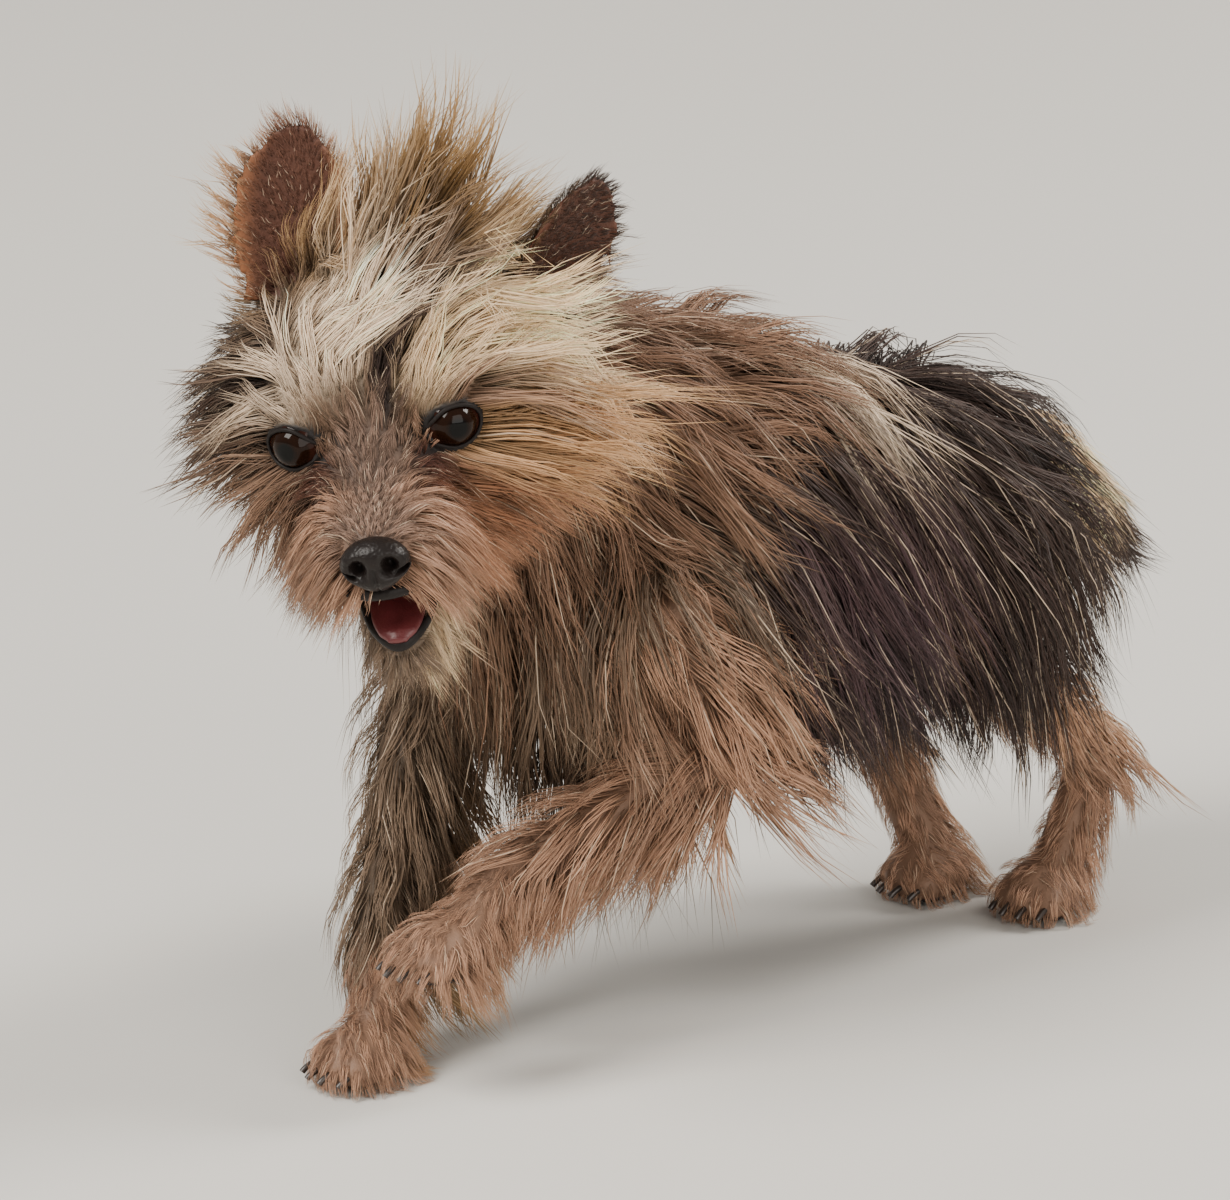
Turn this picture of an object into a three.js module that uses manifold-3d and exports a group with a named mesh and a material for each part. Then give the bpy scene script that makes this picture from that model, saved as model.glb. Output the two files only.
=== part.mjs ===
// A Yorkshire terrier at a run, life size, in millimetres: +X is its left side, -Y its front, +Z up.
// The origin is on the floor, under the middle of the whole model.
// Three feet are down, the left fore foot is lifted, and the head is turned to the animal's left.
import * as THREE from "three";
import { mergeVertices } from "three/addons/utils/BufferGeometryUtils.js";
import Module from "manifold-3d";

const wasm = await Module();
wasm.setup();
const { Manifold, Mesh: SolidMesh } = wasm;

// Driving dimensions of the animal
const GAP = 0.3; // clear space between two neighbouring pieces
const MERGE_DISTANCE = 1e-4;
const FLAT_FACE = 1e-6; // twice the area in square millimetres under which a face has no direction
const POLE_SHARE = 0.6; // how far a round end stands out, as a share of its half size
const STEP_TURNS = 80; // rounds in which the step out of a corner is worked out
const LONGEST_STEP = 14; // the longest such step, in gaps
const SMALLEST_EDGE = 0.15; // slivers finer than this are closed up
const CORE_SHARE = 0.45; // how far the dense core of the coat reaches towards the tips
// Depth of the coat over the flesh
const COAT = {
  back: 10, side: 12, chest: 14, neck: 17, skull: 9,
  muzzle: 4, jaw: 4, leg: 6, foot: 2, tail: 7,
};
const EYE = { radius: 8, apart: 36, forward: -4, looksOut: 24, lidWide: 13, lidTall: 10.5, lid: 1.6 };
const NOSE = { width: 17.5, height: 13.5, depth: 12, nostril: 4.2 };
const EAR = { width: 34, thickness: 2.2, thinner: 0.4, cup: 7, flatter: 0.55, tipBack: 3, edgeLow: 2 };
const EAR_STEPS = 6;
// Half width of an ear up its length, as shares of half its full width
const EAR_SPAN = { base: 0.8, swell: 0.55, rounding: 1.15, power: 2.6 };
const LIP = { upper: 1.8, lower: 1.6 };
const FLOOR = 0;
const LOOKS = {
  dark: { color: "#3a2f2c", roughness: 0.6 },
  grey: { color: "#6d6258", roughness: 0.6 },
  tan: { color: "#a9794f", roughness: 0.65 },
  gold: { color: "#b99a76", roughness: 0.65 },
  leather: { color: "#15110f", roughness: 0.35 },
  eye: { color: "#1a0f09", roughness: 0.05 },
  tongue: { color: "#8c3b38", roughness: 0.4 },
};

const vec = (x, y, z) => new THREE.Vector3(x, y, z);
const rad = THREE.MathUtils.degToRad;
const mix = THREE.MathUtils.lerp;
const smoothstep = THREE.MathUtils.smoothstep;

// One seeded draw after another, from 0 to 1, so that every build is the same
let seed = 20;
function draw() {
  seed = (seed * 16807) % 2147483647;
  return seed / 2147483647;
}
const spread = (amount) => (draw() * 2 - 1) * amount;

// The head's own frame: +X forwards along the muzzle, +Y to its left, +Z up, origin midway between the eyes
const HEAD_AT = vec(16, -24, 177);
const HEAD_TURN = 40;
const HEAD_NOD = 7;
const HEAD_TILT = 10;
const headFrame = new THREE.Matrix4()
  .makeTranslation(HEAD_AT.x, HEAD_AT.y, HEAD_AT.z)
  .multiply(new THREE.Matrix4().makeRotationZ(rad(HEAD_TURN - 90)))
  .multiply(new THREE.Matrix4().makeRotationY(rad(HEAD_NOD)))
  .multiply(new THREE.Matrix4().makeRotationX(rad(HEAD_TILT)));
const onHead = (forward, left, up) => vec(forward, left, up).applyMatrix4(headFrame);
const headWay = (forward, left, up) => vec(forward, left, up).transformDirection(headFrame);
const headRotation = new THREE.Matrix4().extractRotation(headFrame);

// A closed BufferGeometry from rings of points, with a pole at each end.
// Its walls are split into triangles one way, and the wall named otherWay the other way.
function ringsToGeometry(rings, startPole, endPole, otherWay = -1) {
  const sides = rings[0].length;
  const points = [startPole, ...rings.flat(), endPole];
  const at = (ring, side) => 1 + ring * sides + ((side + sides) % sides);
  const faces = [];
  for (let s = 0; s < sides; s++) {
    faces.push(0, at(0, s + 1), at(0, s));
    faces.push(points.length - 1, at(rings.length - 1, s), at(rings.length - 1, s + 1));
    for (let r = 0; r < rings.length - 1; r++) {
      const [a, b, c, d] = [at(r, s), at(r, s + 1), at(r + 1, s + 1), at(r + 1, s)];
      faces.push(...(s === otherWay ? [a, b, d, b, c, d] : [a, b, c, a, c, d]));
    }
  }
  const geometry = new THREE.BufferGeometry().setFromPoints(points);
  geometry.setIndex(faces);
  return geometry;
}

// A closed leaf from two grids of points, its front and its back, split into triangles alike on both
function leafToGeometry(front, back) {
  const [rows, columns] = [front.length, front[0].length];
  const at = (r, c, face = 0) => (face * rows + r) * columns + c;
  const faces = [];
  for (let r = 0; r < rows - 1; r++) {
    for (let c = 0; c < columns - 1; c++) {
      const corners = (face) =>
        [[r, c], [r, c + 1], [r + 1, c + 1], [r + 1, c]].map(([row, column]) => at(row, column, face));
      const [a, b, d, e] = corners(0);
      faces.push(a, b, d, a, d, e);
      const [p, q, s, t] = corners(1);
      faces.push(p, s, q, p, t, s);
    }
  }
  const across = Array.from({ length: columns - 1 }, (_, c) => c);
  const along = Array.from({ length: rows - 1 }, (_, r) => r);
  const border = [
    ...across.map((c) => [0, c]),
    ...along.map((r) => [r, columns - 1]),
    ...across.map((c) => [rows - 1, columns - 1 - c]),
    ...along.map((r) => [rows - 1 - r, 0]),
  ];
  border.forEach(([r, c], i) => {
    const [nextRow, nextColumn] = border[(i + 1) % border.length];
    const [p, q] = [at(r, c), at(nextRow, nextColumn)];
    const [behindP, behindQ] = [at(r, c, 1), at(nextRow, nextColumn, 1)];
    faces.push(q, p, behindP, q, behindP, behindQ);
  });
  const geometry = new THREE.BufferGeometry().setFromPoints([...front.flat(), ...back.flat()]);
  geometry.setIndex(faces);
  return geometry;
}

// The points and faces of a closed geometry, each point once and every face turned outwards
function closedMesh(geometry) {
  const bare = geometry.index ? geometry.toNonIndexed() : geometry.clone();
  bare.deleteAttribute("normal");
  bare.deleteAttribute("uv");
  const merged = mergeVertices(bare, MERGE_DISTANCE);
  const points = merged.attributes.position.array;
  const faces = new Uint32Array(merged.index.array);
  if (makeSolid(points, faces).volume() < 0) {
    for (let i = 0; i < faces.length; i += 3) [faces[i], faces[i + 1]] = [faces[i + 1], faces[i]];
  }
  return { points, faces };
}
const makeSolid = (points, faces) =>
  new Manifold(new SolidMesh({ numProp: 3, vertProperties: points, triVerts: faces }));

// The solid of a closed geometry. With extra, each corner moves out until every face at it is that much
// further out.
function solidOf(geometry, extra = 0) {
  const { points, faces } = closedMesh(geometry);
  if (extra === 0) return makeSolid(points, faces);
  const corner = (i) => vec(points[3 * i], points[3 * i + 1], points[3 * i + 2]);
  const normals = Array.from({ length: points.length / 3 }, () => []);
  for (let i = 0; i < faces.length; i += 3) {
    const [a, b, c] = [faces[i], faces[i + 1], faces[i + 2]].map(corner);
    const normal = b.sub(a).cross(c.sub(a));
    if (normal.length() < FLAT_FACE) continue;
    normal.normalize();
    for (let k = 0; k < 3; k++) normals[faces[i + k]].push(normal);
  }
  const grown = new Float32Array(points.length);
  normals.forEach((around, i) => corner(i).add(cornerStep(around, extra)).toArray(grown, 3 * i));
  return makeSolid(grown, faces);
}

// The short step that takes a corner extra out from every face that meets there
function cornerStep(around, extra) {
  const step = vec(0, 0, 0);
  for (let turn = 0; turn < STEP_TURNS; turn++) {
    for (const normal of around) step.addScaledVector(normal, Math.max(0, extra - step.dot(normal)));
  }
  return step.clampLength(0, LONGEST_STEP * extra);
}

const fuse = (solids) => Manifold.union(solids);

// The largest closed surface of a solid, which fills sealed hollows and drops loose scraps
function largest(solid) {
  return solid
    .decompose()
    .reduce((best, piece) => (!best || piece.volume() > best.volume() ? piece : best), null);
}

function ellipsoid(at, size, turn = new THREE.Matrix4(), detail = [12, 8]) {
  const geometry = new THREE.SphereGeometry(1, ...detail);
  geometry.scale(size.x / 2, size.y / 2, size.z / 2);
  geometry.applyMatrix4(turn);
  geometry.translate(at.x, at.y, at.z);
  return geometry;
}

// An ellipsoid turned as the head is
const ball = (at, size, detail) => ellipsoid(at, size, headRotation, detail);

// One round limb or trunk: stations {at, wide, tall, coat} from one end to the other.
// Its sections stand square to facing where that is given, and else to the line itself.
class Form {
  constructor(stations, { sides = 8, rings = 3, upward = vec(0, 0, 1), facing = null } = {}) {
    Object.assign(this, { sides, rings, upward, facing });
    this.line = new THREE.CatmullRomCurve3(
      stations.map((s) => s.at),
      false,
      "centripetal",
    );
    this.sizes = ["wide", "tall", "coat"].map(
      (key) => new THREE.SplineCurve(stations.map((s, i) => new THREE.Vector2(i, s[key]))),
    );
  }
  // Centre, sideways and upward directions, half sizes and coat depth at t from 0 to 1
  section(t) {
    const along = this.facing ?? this.line.getTangent(t);
    const side = this.upward.clone().cross(along).normalize();
    const up = along.clone().cross(side).normalize();
    const [wide, tall, coat] = this.sizes.map((curve) => Math.max(curve.getPoint(t).y, 0.1));
    return { at: this.line.getPoint(t), along, side, up, wide, tall, coat };
  }
  // A point on the core of the coat at t along the line and angle in degrees round it
  point(t, angle) {
    const s = this.section(t);
    const out = s.coat * CORE_SHARE;
    return s.at
      .clone()
      .addScaledVector(s.side, (s.wide + out) * Math.cos(rad(angle)))
      .addScaledVector(s.up, (s.tall + out) * Math.sin(rad(angle)));
  }
  // The way out of the surface at t and angle
  normal(t, angle) {
    const s = this.section(t);
    return s.side
      .clone()
      .multiplyScalar(Math.cos(rad(angle)) / s.wide)
      .addScaledVector(s.up, Math.sin(rad(angle)) / s.tall)
      .normalize();
  }
  // The closed shape of flesh and core
  shape() {
    const rings = [];
    for (let r = 0; r <= this.rings; r++) {
      rings.push(
        Array.from({ length: this.sides }, (_, s) => this.point(r / this.rings, (s / this.sides) * 360)),
      );
    }
    const pole = (t, way) => {
      const s = this.section(t);
      const reach = Math.min(s.wide, s.tall) * POLE_SHARE + s.coat * CORE_SHARE;
      return s.at.clone().addScaledVector(s.along, way * reach);
    };
    return ringsToGeometry(rings, pole(0, -1), pole(1, 1));
  }
}

const station = (at, wide, tall, coat = 0) => ({ at, wide, tall, coat });
const headStation = (forward, up, wide, tall, coat = 0) => station(onHead(forward, 0, up), wide, tall, coat);

// The flesh of the trunk, neck, head and tail
const torsoForm = new Form(
  [
    station(vec(0, 50, 119), 13, 15, COAT.chest),
    station(vec(0, 58, 121), 25, 27, COAT.chest),
    station(vec(0, 76, 124), 33, 38, COAT.chest),
    station(vec(0, 102, 126), 36, 44, COAT.side),
    station(vec(0, 130, 123), 36, 41, COAT.side),
    station(vec(0, 152, 117), 32, 34, COAT.side),
    station(vec(0, 175, 115), 28, 32, COAT.back),
    station(vec(0, 193, 112), 26, 30, COAT.back),
    station(vec(0, 205, 108), 20, 24, COAT.back),
    station(vec(0, 211, 106), 13, 15, COAT.back),
  ],
  { sides: 12, rings: 9, facing: vec(0, 1, 0) },
);
const neckForm = new Form(
  [
    station(vec(0, 92, 138), 25, 32, COAT.neck * 0.6),
    station(vec(-3, 66, 152), 25, 29, COAT.neck),
    station(vec(-9, 42, 166), 23, 26, COAT.neck),
    station(vec(-14, 20, 176), 23, 24, COAT.neck),
    station(vec(-12, 8, 178), 18, 18, COAT.neck * 0.5),
  ],
  { sides: 12, rings: 5, facing: vec(-14, -84, 40).normalize() },
);
const headAxes = { upward: headWay(0, 0, 1), facing: headWay(1, 0, 0) };
const skullForm = new Form(
  [
    headStation(-56, 4, 12, 11, COAT.skull),
    headStation(-50, 4, 24, 21, COAT.skull),
    headStation(-36, 5, 31, 28, COAT.skull),
    headStation(-20, 4, 32, 28, COAT.skull),
    headStation(-8, 1, 28, 25, COAT.skull * 0.6),
    headStation(0, -4, 23, 19, COAT.skull * 0.2),
    headStation(6, -9, 15, 12, 0.5),
  ],
  { sides: 14, rings: 7, ...headAxes },
);
const muzzleForm = new Form(
  [
    headStation(-2, -13, 17, 14, COAT.muzzle),
    headStation(9, -16, 15, 12, COAT.muzzle),
    headStation(19, -18.5, 13, 10.5, COAT.muzzle * 0.7),
    headStation(27, -20.5, 11, 9, COAT.muzzle * 0.4),
    headStation(30, -21, 8, 7, 0.5),
  ],
  { sides: 10, rings: 4, ...headAxes },
);
const jawAxes = { upward: headWay(0.4, 0, 1), facing: headWay(1, 0, -0.4) };
const jawForm = new Form(
  [
    headStation(-18, -29, 14, 7, COAT.jaw),
    headStation(-6, -34, 12, 6, COAT.jaw),
    headStation(6, -40, 9.5, 5.5, COAT.jaw),
    headStation(15, -45, 7.5, 4.5, COAT.jaw * 0.7),
    headStation(21, -48, 5, 3.2, 0.5),
  ],
  { sides: 8, rings: 4, ...jawAxes },
);
const tongueForm = new Form(
  [
    headStation(-8, -28, 7, 2.4),
    headStation(3, -32, 7.5, 2.4),
    headStation(13, -37.5, 7, 2.2),
    headStation(22, -42.5, 5, 1.7),
  ],
  { sides: 10, rings: 6, ...jawAxes },
);
const tailForm = new Form(
  [
    station(vec(0, 204, 124), 7, 7, COAT.tail * 0.6),
    station(vec(0, 222, 120), 6, 6, COAT.tail),
    station(vec(0, 236, 110), 5, 5, COAT.tail),
    station(vec(1, 246, 99), 3.5, 3.5, COAT.tail * 0.6),
  ],
  { sides: 10, rings: 5, upward: vec(0, 1, 1).normalize() },
);

// Joints of each leg from top to toe
const legJoints = (hip, knee, ankle, toe) => ({ hip, knee, ankle, toe });
const LEGS = {
  fore_left: legJoints(vec(26, 68, 122), vec(32, 84, 76), vec(13, 26, 54), vec(12, 4, 38)),
  fore_right: legJoints(vec(-26, 60, 120), vec(-37, 42, 82), vec(-20, 11, 30), vec(-9, -2, 7)),
  hind_left: legJoints(vec(24, 188, 110), vec(30, 178, 80), vec(26, 226, 42), vec(22, 214, 7)),
  hind_right: legJoints(vec(-24, 186, 110), vec(-27, 162, 90), vec(-20, 192, 44), vec(-9, 204, 7)),
};
const LEG_UP = vec(0, -1, 0.2).normalize();
// Half widths and half depths down the legs
const LEG_SIZES = {
  fore: { hip: [13, 17], middle: [11, 13], knee: [9, 10], below: [8.5, 9] },
  hind: { hip: [16, 25], middle: [14, 19], knee: [11, 13], below: [8.5, 11] },
};
const SHIN_SIZE = [7, 8];
const ANKLE_SIZE = [6.2, 6.8];
const INSTEP_SIZE = [6.5, 6.5];
const TOE_ROOT_SIZE = [7.5, 6.5];
const RESTING_TOE = 10; // a foot whose toe joint is lower than this stands on the floor
for (const [name, leg] of Object.entries(LEGS)) {
  leg.hind = name.startsWith("hind");
  leg.side = Math.sign(leg.hip.x);
  leg.down = leg.toe.z < RESTING_TOE;
  const sizes = leg.hind ? LEG_SIZES.hind : LEG_SIZES.fore;
  const between = (from, to, share) => from.clone().lerp(to, share);
  leg.upper = new Form(
    [
      station(leg.hip, ...sizes.hip, COAT.leg),
      station(between(leg.hip, leg.knee, 0.55), ...sizes.middle, COAT.leg),
      station(leg.knee, ...sizes.knee, COAT.leg),
    ],
    { upward: LEG_UP },
  );
  leg.lower = new Form(
    [
      station(leg.knee, ...sizes.below, COAT.leg),
      station(between(leg.knee, leg.ankle, 0.5), ...SHIN_SIZE, COAT.leg),
      station(leg.ankle, ...ANKLE_SIZE, COAT.leg * 0.6),
    ],
    { upward: LEG_UP },
  );
  leg.foot = new Form(
    [
      station(leg.ankle, ...ANKLE_SIZE, COAT.leg * 0.6),
      station(between(leg.ankle, leg.toe, 0.55), ...INSTEP_SIZE, COAT.foot),
      station(leg.toe, ...TOE_ROOT_SIZE, COAT.foot),
    ],
    { rings: 3, upward: LEG_UP },
  );
}

// Beads of flesh and core that locks are kept out of
const allForms = [torsoForm, neckForm, skullForm, muzzleForm, jawForm, tailForm].concat(
  Object.values(LEGS).flatMap((leg) => [leg.upper, leg.lower, leg.foot]),
);
const BEADS_PER_FORM = 16;
const beads = allForms.flatMap((form) =>
  Array.from({ length: BEADS_PER_FORM }, (_, i) => {
    const s = form.section(i / (BEADS_PER_FORM - 1));
    const wide = s.wide + s.coat * CORE_SHARE;
    const tall = s.tall + s.coat * CORE_SHARE;
    return { ...s, wide, tall, deep: Math.min(wide, tall) };
  }),
);
// How far a point is outside the nearest bead, and the way out of it
function clearance(point) {
  let best = { distance: Infinity, out: vec(0, 0, 1) };
  for (const bead of beads) {
    const gap = point.clone().sub(bead.at);
    const x = gap.dot(bead.side) / bead.wide;
    const y = gap.dot(bead.up) / bead.tall;
    const z = gap.dot(bead.along) / bead.deep;
    const distance = (Math.hypot(x, y, z) - 1) * bead.deep;
    if (distance < best.distance) {
      const out = bead.side
        .clone()
        .multiplyScalar(x / bead.wide)
        .addScaledVector(bead.up, y / bead.tall)
        .addScaledVector(bead.along, z / bead.deep);
      best = { distance, out: out.lengthSq() > 0 ? out.normalize() : bead.up.clone() };
    }
  }
  return best;
}

// Locks: flat, tapered, bent bars with a low ridge along the outer face
const LOCK_WIDTHS = [0.85, 1, 0.95, 0.65];
const LOCK_THICKNESSES = [1, 1, 0.85, 0.6];
const LOCK_STEPS = LOCK_WIDTHS.length;
const LOCK_UNDERSIDE = 0.4;
const UNDERSIDE_WALL = 2; // split so that the underside never cuts the thin edges of a lock that turns
const TIGHTEST_BEND = 1.1; // half width of a lock at most, as a share of the radius that it bends to sideways
const ROOT_DEPTH = 3;

// Lays one lock from a root on a core. It leaves along rise, turns to flow, slides over any core it meets,
// stays lift clear of it at the root and tipLift at the tip, and bends down by droop.
function layLock({ root, out, rise, flow, length, wide, thick = 1.3, lift = 1.5, tipLift = 5, droop = 0 }) {
  const step = length / LOCK_STEPS;
  const points = [root.clone().addScaledVector(out, -ROOT_DEPTH)];
  let at = root.clone();
  for (let k = 1; k <= LOCK_STEPS; k++) {
    const way = rise.clone().lerp(flow, Math.min(1, k / (LOCK_STEPS - 1))).normalize();
    way.z -= droop * (k / LOCK_STEPS);
    way.normalize();
    const here = clearance(at);
    const into = way.dot(here.out);
    if (here.distance < tipLift + 2 && into < 0) way.addScaledVector(here.out, -into).normalize();
    at = at.clone().addScaledVector(way, step);
    const wanted = mix(lift, tipLift, k / LOCK_STEPS);
    let near = clearance(at);
    for (let turn = 0; turn < 3 && near.distance < wanted; turn++) {
      at.addScaledVector(near.out, wanted - near.distance);
      near = clearance(at);
    }
    at.z = Math.max(at.z, FLOOR + 2 * thick);
    points.push(at.clone());
  }
  return lockShape(points, out, wide, thick);
}

// The face of a lock starts as out and is carried along without twisting, so that its thin walls never cross
function lockShape(points, out, wide, thick) {
  const curve = new THREE.CatmullRomCurve3(points);
  const tangents = points.map((_, k) => curve.getTangent(k / LOCK_STEPS));
  const face = out.clone();
  const rings = LOCK_WIDTHS.map((share, k) => {
    const along = tangents[k];
    const side = along.clone().cross(face).normalize();
    face.copy(side).cross(along).normalize();
    const at = points[k];
    const reach = at.distanceTo(points[k + 1]);
    const turn = Math.abs(tangents[k + 1].dot(side) - tangents[Math.max(k - 1, 0)].dot(side));
    const half = Math.min(wide * share, (TIGHTEST_BEND * reach) / Math.max(turn, 0.01));
    const deep = thick * LOCK_THICKNESSES[k];
    const under = at.clone().addScaledVector(face, -deep * LOCK_UNDERSIDE);
    return [
      under.clone().addScaledVector(side, half),
      at.clone().addScaledVector(face, deep),
      under.clone().addScaledVector(side, -half),
    ];
  });
  return ringsToGeometry(rings, points[0], points.at(-1), UNDERSIDE_WALL);
}

// A lock rooted on a form at t and angle
function lockOn(form, t, angle, { flow, stand = 0.5, ...rest }) {
  const out = form.normal(t, angle);
  const root = form.point(t, angle);
  const lie = flow.clone().addScaledVector(out, -flow.dot(out)).normalize();
  return layLock({ root, out, rise: lie.addScaledVector(out, stand).normalize(), flow, ...rest });
}

// Pad, toes and claws of one paw
const PAW = { size: vec(20, 23, 17), ahead: 3 };
const TOE = { size: vec(6.5, 11, 10), apart: 5, reach: 12, arch: 2.2, low: 1.5 };
const TOE_ROWS = [-1.5, -0.5, 0.5, 1.5];
const CLAW = { long: 5, radius: 1.2, dips: 0.5, clear: 0.5 };
function pawShapes(leg) {
  const forward = leg.down ? vec(0.12 * leg.side, -1, 0) : leg.toe.clone().sub(leg.ankle).setZ(0);
  forward.normalize();
  const across = vec(-forward.y, forward.x, 0);
  const still = new THREE.Matrix4();
  const pad = ellipsoid(leg.toe.clone().addScaledVector(forward, PAW.ahead), PAW.size, still, [8, 6]);
  const toes = TOE_ROWS.flatMap((k) => {
    const at = leg.toe
      .clone()
      .addScaledVector(forward, TOE.reach - Math.abs(k) * TOE.arch)
      .addScaledVector(across, k * TOE.apart)
      .add(vec(0, 0, -TOE.low));
    const claw = new THREE.ConeGeometry(CLAW.radius, CLAW.long, 4);
    claw.rotateX(Math.PI / 2 + CLAW.dips);
    claw.rotateZ(Math.atan2(forward.y, forward.x) - Math.PI / 2);
    const tip = at.clone().addScaledVector(forward, TOE.size.y / 2 + CLAW.clear);
    claw.translate(tip.x, tip.y, tip.z - CLAW.clear);
    return [ellipsoid(at, TOE.size, still, [6, 4]), claw];
  });
  return [pad, ...toes];
}

const FRINGE = { wide: 4, thick: 1, lift: 0, tipLift: 2 };

// One ear, a cupped leaf with a rounded tip. facing is the way its cup looks.
class Ear {
  constructor(base, tip, facing) {
    this.base = base;
    this.up = tip.clone().sub(base);
    this.length = this.up.length();
    this.up.normalize();
    this.across = facing.clone().cross(this.up).normalize();
    this.out = this.up.clone().cross(this.across).normalize();
  }
  halfWidth(u) {
    const { base, swell, rounding, power } = EAR_SPAN;
    return (EAR.width / 2) * (base + swell * u - rounding * u ** power);
  }
  // u runs from base to tip, v from -1 to 1 across; the edges stand forward, so that the ear is a cup
  at(u, v, side = 0) {
    const bow = EAR.cup * (1 - EAR.flatter * u) * (v * v - 0.5) - EAR.tipBack * u * u;
    const half = (EAR.thickness / 2) * (1 - EAR.thinner * u);
    return this.base
      .clone()
      .addScaledVector(this.up, u * this.length - EAR.edgeLow * v * v)
      .addScaledVector(this.across, v * this.halfWidth(u))
      .addScaledVector(this.out, bow + side * half);
  }
  shape() {
    const steps = Array.from({ length: EAR_STEPS + 1 }, (_, i) => i / EAR_STEPS);
    const grid = (side) => steps.map((u) => steps.map((v) => this.at(u, v * 2 - 1, side)));
    return leafToGeometry(grid(1), grid(-1));
  }
  // The fringe round the edge, as lines of: how far up the ear, and how far across it from -1 to 1
  fringe() {
    return this.edge.map(([u, v]) => {
      const outward = this.across
        .clone()
        .multiplyScalar(v)
        .addScaledVector(this.up, 0.2 + u)
        .normalize();
      const flow = outward.clone().add(this.wind).normalize();
      const root = this.at(u, v * 0.85);
      return layLock({ root, out: outward, rise: outward, flow, length: this.hair, ...FRINGE });
    });
  }
}
const ears = {
  left: new Ear(onHead(-36, 38, 14), onHead(-48, 65, 42), headWay(0.65, 0.7, -0.3)),
  right: new Ear(onHead(-30, -18, 26), onHead(-38, -10, 74), headWay(0.9, -0.38, 0.05)),
};
Object.assign(ears.left, {
  look: LOOKS.dark,
  hair: 14,
  wind: headWay(-0.5, 0.5, 0.2).multiplyScalar(0.6),
  edge: [[0.97, 0], [0.86, 0.7], [0.6, 1], [0.86, -0.7]],
});
Object.assign(ears.right, {
  look: LOOKS.tan,
  hair: 20,
  wind: headWay(-0.3, -0.1, 0.4).multiplyScalar(0.4),
  edge: [[0.97, 0], [0.9, 0.65], [0.76, 0.95], [0.58, 1], [0.38, 1]],
});

// The opening between the lids, a short oval bar along the way that the eye looks
const eyeFrame = (side) =>
  headFrame
    .clone()
    .multiply(new THREE.Matrix4().makeTranslation(EYE.forward, (side * EYE.apart) / 2, 0))
    .multiply(new THREE.Matrix4().makeRotationZ(side * rad(EYE.looksOut)));
function lidOpening(side) {
  const bar = new THREE.CylinderGeometry(0.5, 0.5, 1, 12);
  bar.rotateZ(Math.PI / 2);
  bar.scale(24, EYE.lidWide, EYE.lidTall);
  bar.translate(12, 0, 0);
  return bar.applyMatrix4(eyeFrame(side));
}
function lids(side) {
  const ring = new THREE.TorusGeometry(1, EYE.lid / 6, 4, 12);
  ring.rotateY(Math.PI / 2);
  ring.scale(6, EYE.lidWide / 2 + 0.6, EYE.lidTall / 2 + 0.6);
  ring.translate(5, 0, 0);
  return ring.applyMatrix4(eyeFrame(side));
}

// A lip, a round bead that follows points on the head from one corner of the mouth to the other
function lip(points, thick) {
  const stations = points.map((p) => station(onHead(...p), thick, thick));
  return new Form(stations, { sides: 4, rings: 6, upward: headWay(0, 0, 1) }).shape();
}
const mirrored = (half) => [...half, ...half.slice(0, -1).reverse().map(([f, l, u]) => [f, -l, u])];
const UPPER_LIP = mirrored([[2, 14, -28], [14, 13, -28.5], [24, 9.5, -29.5], [30, 0, -29]]);
const LOWER_LIP = mirrored([[-1, 11, -33], [10, 9, -38.5], [19, 5.5, -43.5], [23, 0, -46]]);

// Nostrils, each a round pit with a slit to the side
function nostrils() {
  return [-1, 1].flatMap((side) => [
    ellipsoid(onHead(39, side * 4, -19.5), vec(7, NOSE.nostril, NOSE.nostril), headRotation, [6, 5]),
    ellipsoid(onHead(36, side * 7, -20.5), vec(8, 5, 1.6), headRotation, [6, 4]),
  ]);
}

// Long hair of the trunk: it falls from the parting on the spine in overlapping rows, down and back
const TRUNK_ROWS = [
  { angle: 9, from: 0.22, to: 0.93, count: 7, length: 76, wide: 7.5, fall: 0.75 },
  { angle: 46, from: 0.2, to: 0.92, count: 6, length: 70, wide: 8, fall: 0.95 },
  { angle: 84, from: 0.2, to: 0.9, count: 6, length: 66, wide: 8, fall: 1.1 },
];
// The bib on the chest, as lines of: how far back, and degrees round the trunk
const BIB = [
  ...[[0.12, 5], [0.12, 175], [0.03, 195], [0.03, 345]],
  ...[[0.02, 245], [0.02, 295], [0.07, 215], [0.07, 325]],
];
const BIB_HAIR = { stand: 0.3, length: 62, wide: 8, tipLift: 6 };
const RUMP_HAIR = { stand: 0.2, length: 46, wide: 6.5, tipLift: 5 };
const RUMP_END = 0.985; // how far back the last locks root
function torsoLocks() {
  const locks = [];
  for (const side of [1, -1]) {
    for (const [index, row] of TRUNK_ROWS.entries()) {
      for (let k = 0; k < row.count; k++) {
        const t = mix(row.from, row.to, (k + 0.5 * (index % 2)) / (row.count - 0.5));
        locks.push(
          lockOn(torsoForm, t, 90 + side * (row.angle + spread(3)), {
            flow: vec(side * (0.22 + spread(0.08)), mix(0.7, 0.3, t) + spread(0.06), -row.fall).normalize(),
            stand: 0.25,
            length: row.length * (0.84 + 0.3 * t + spread(0.1)),
            wide: row.wide * (1 + spread(0.12)),
            tipLift: 6.5 + spread(0.8),
          }),
        );
      }
    }
  }
  for (const [t, angle] of BIB) {
    const flow = vec(spread(0.2), 0.15, -1).normalize();
    locks.push(lockOn(torsoForm, t, angle, { flow, ...BIB_HAIR }));
  }
  for (const angle of [45, 90, 135]) {
    const flow = vec(-Math.cos(rad(angle)) * 0.4, 0.1, -1).normalize();
    locks.push(lockOn(torsoForm, RUMP_END, angle, { flow, ...RUMP_HAIR }));
  }
  return locks;
}

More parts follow.
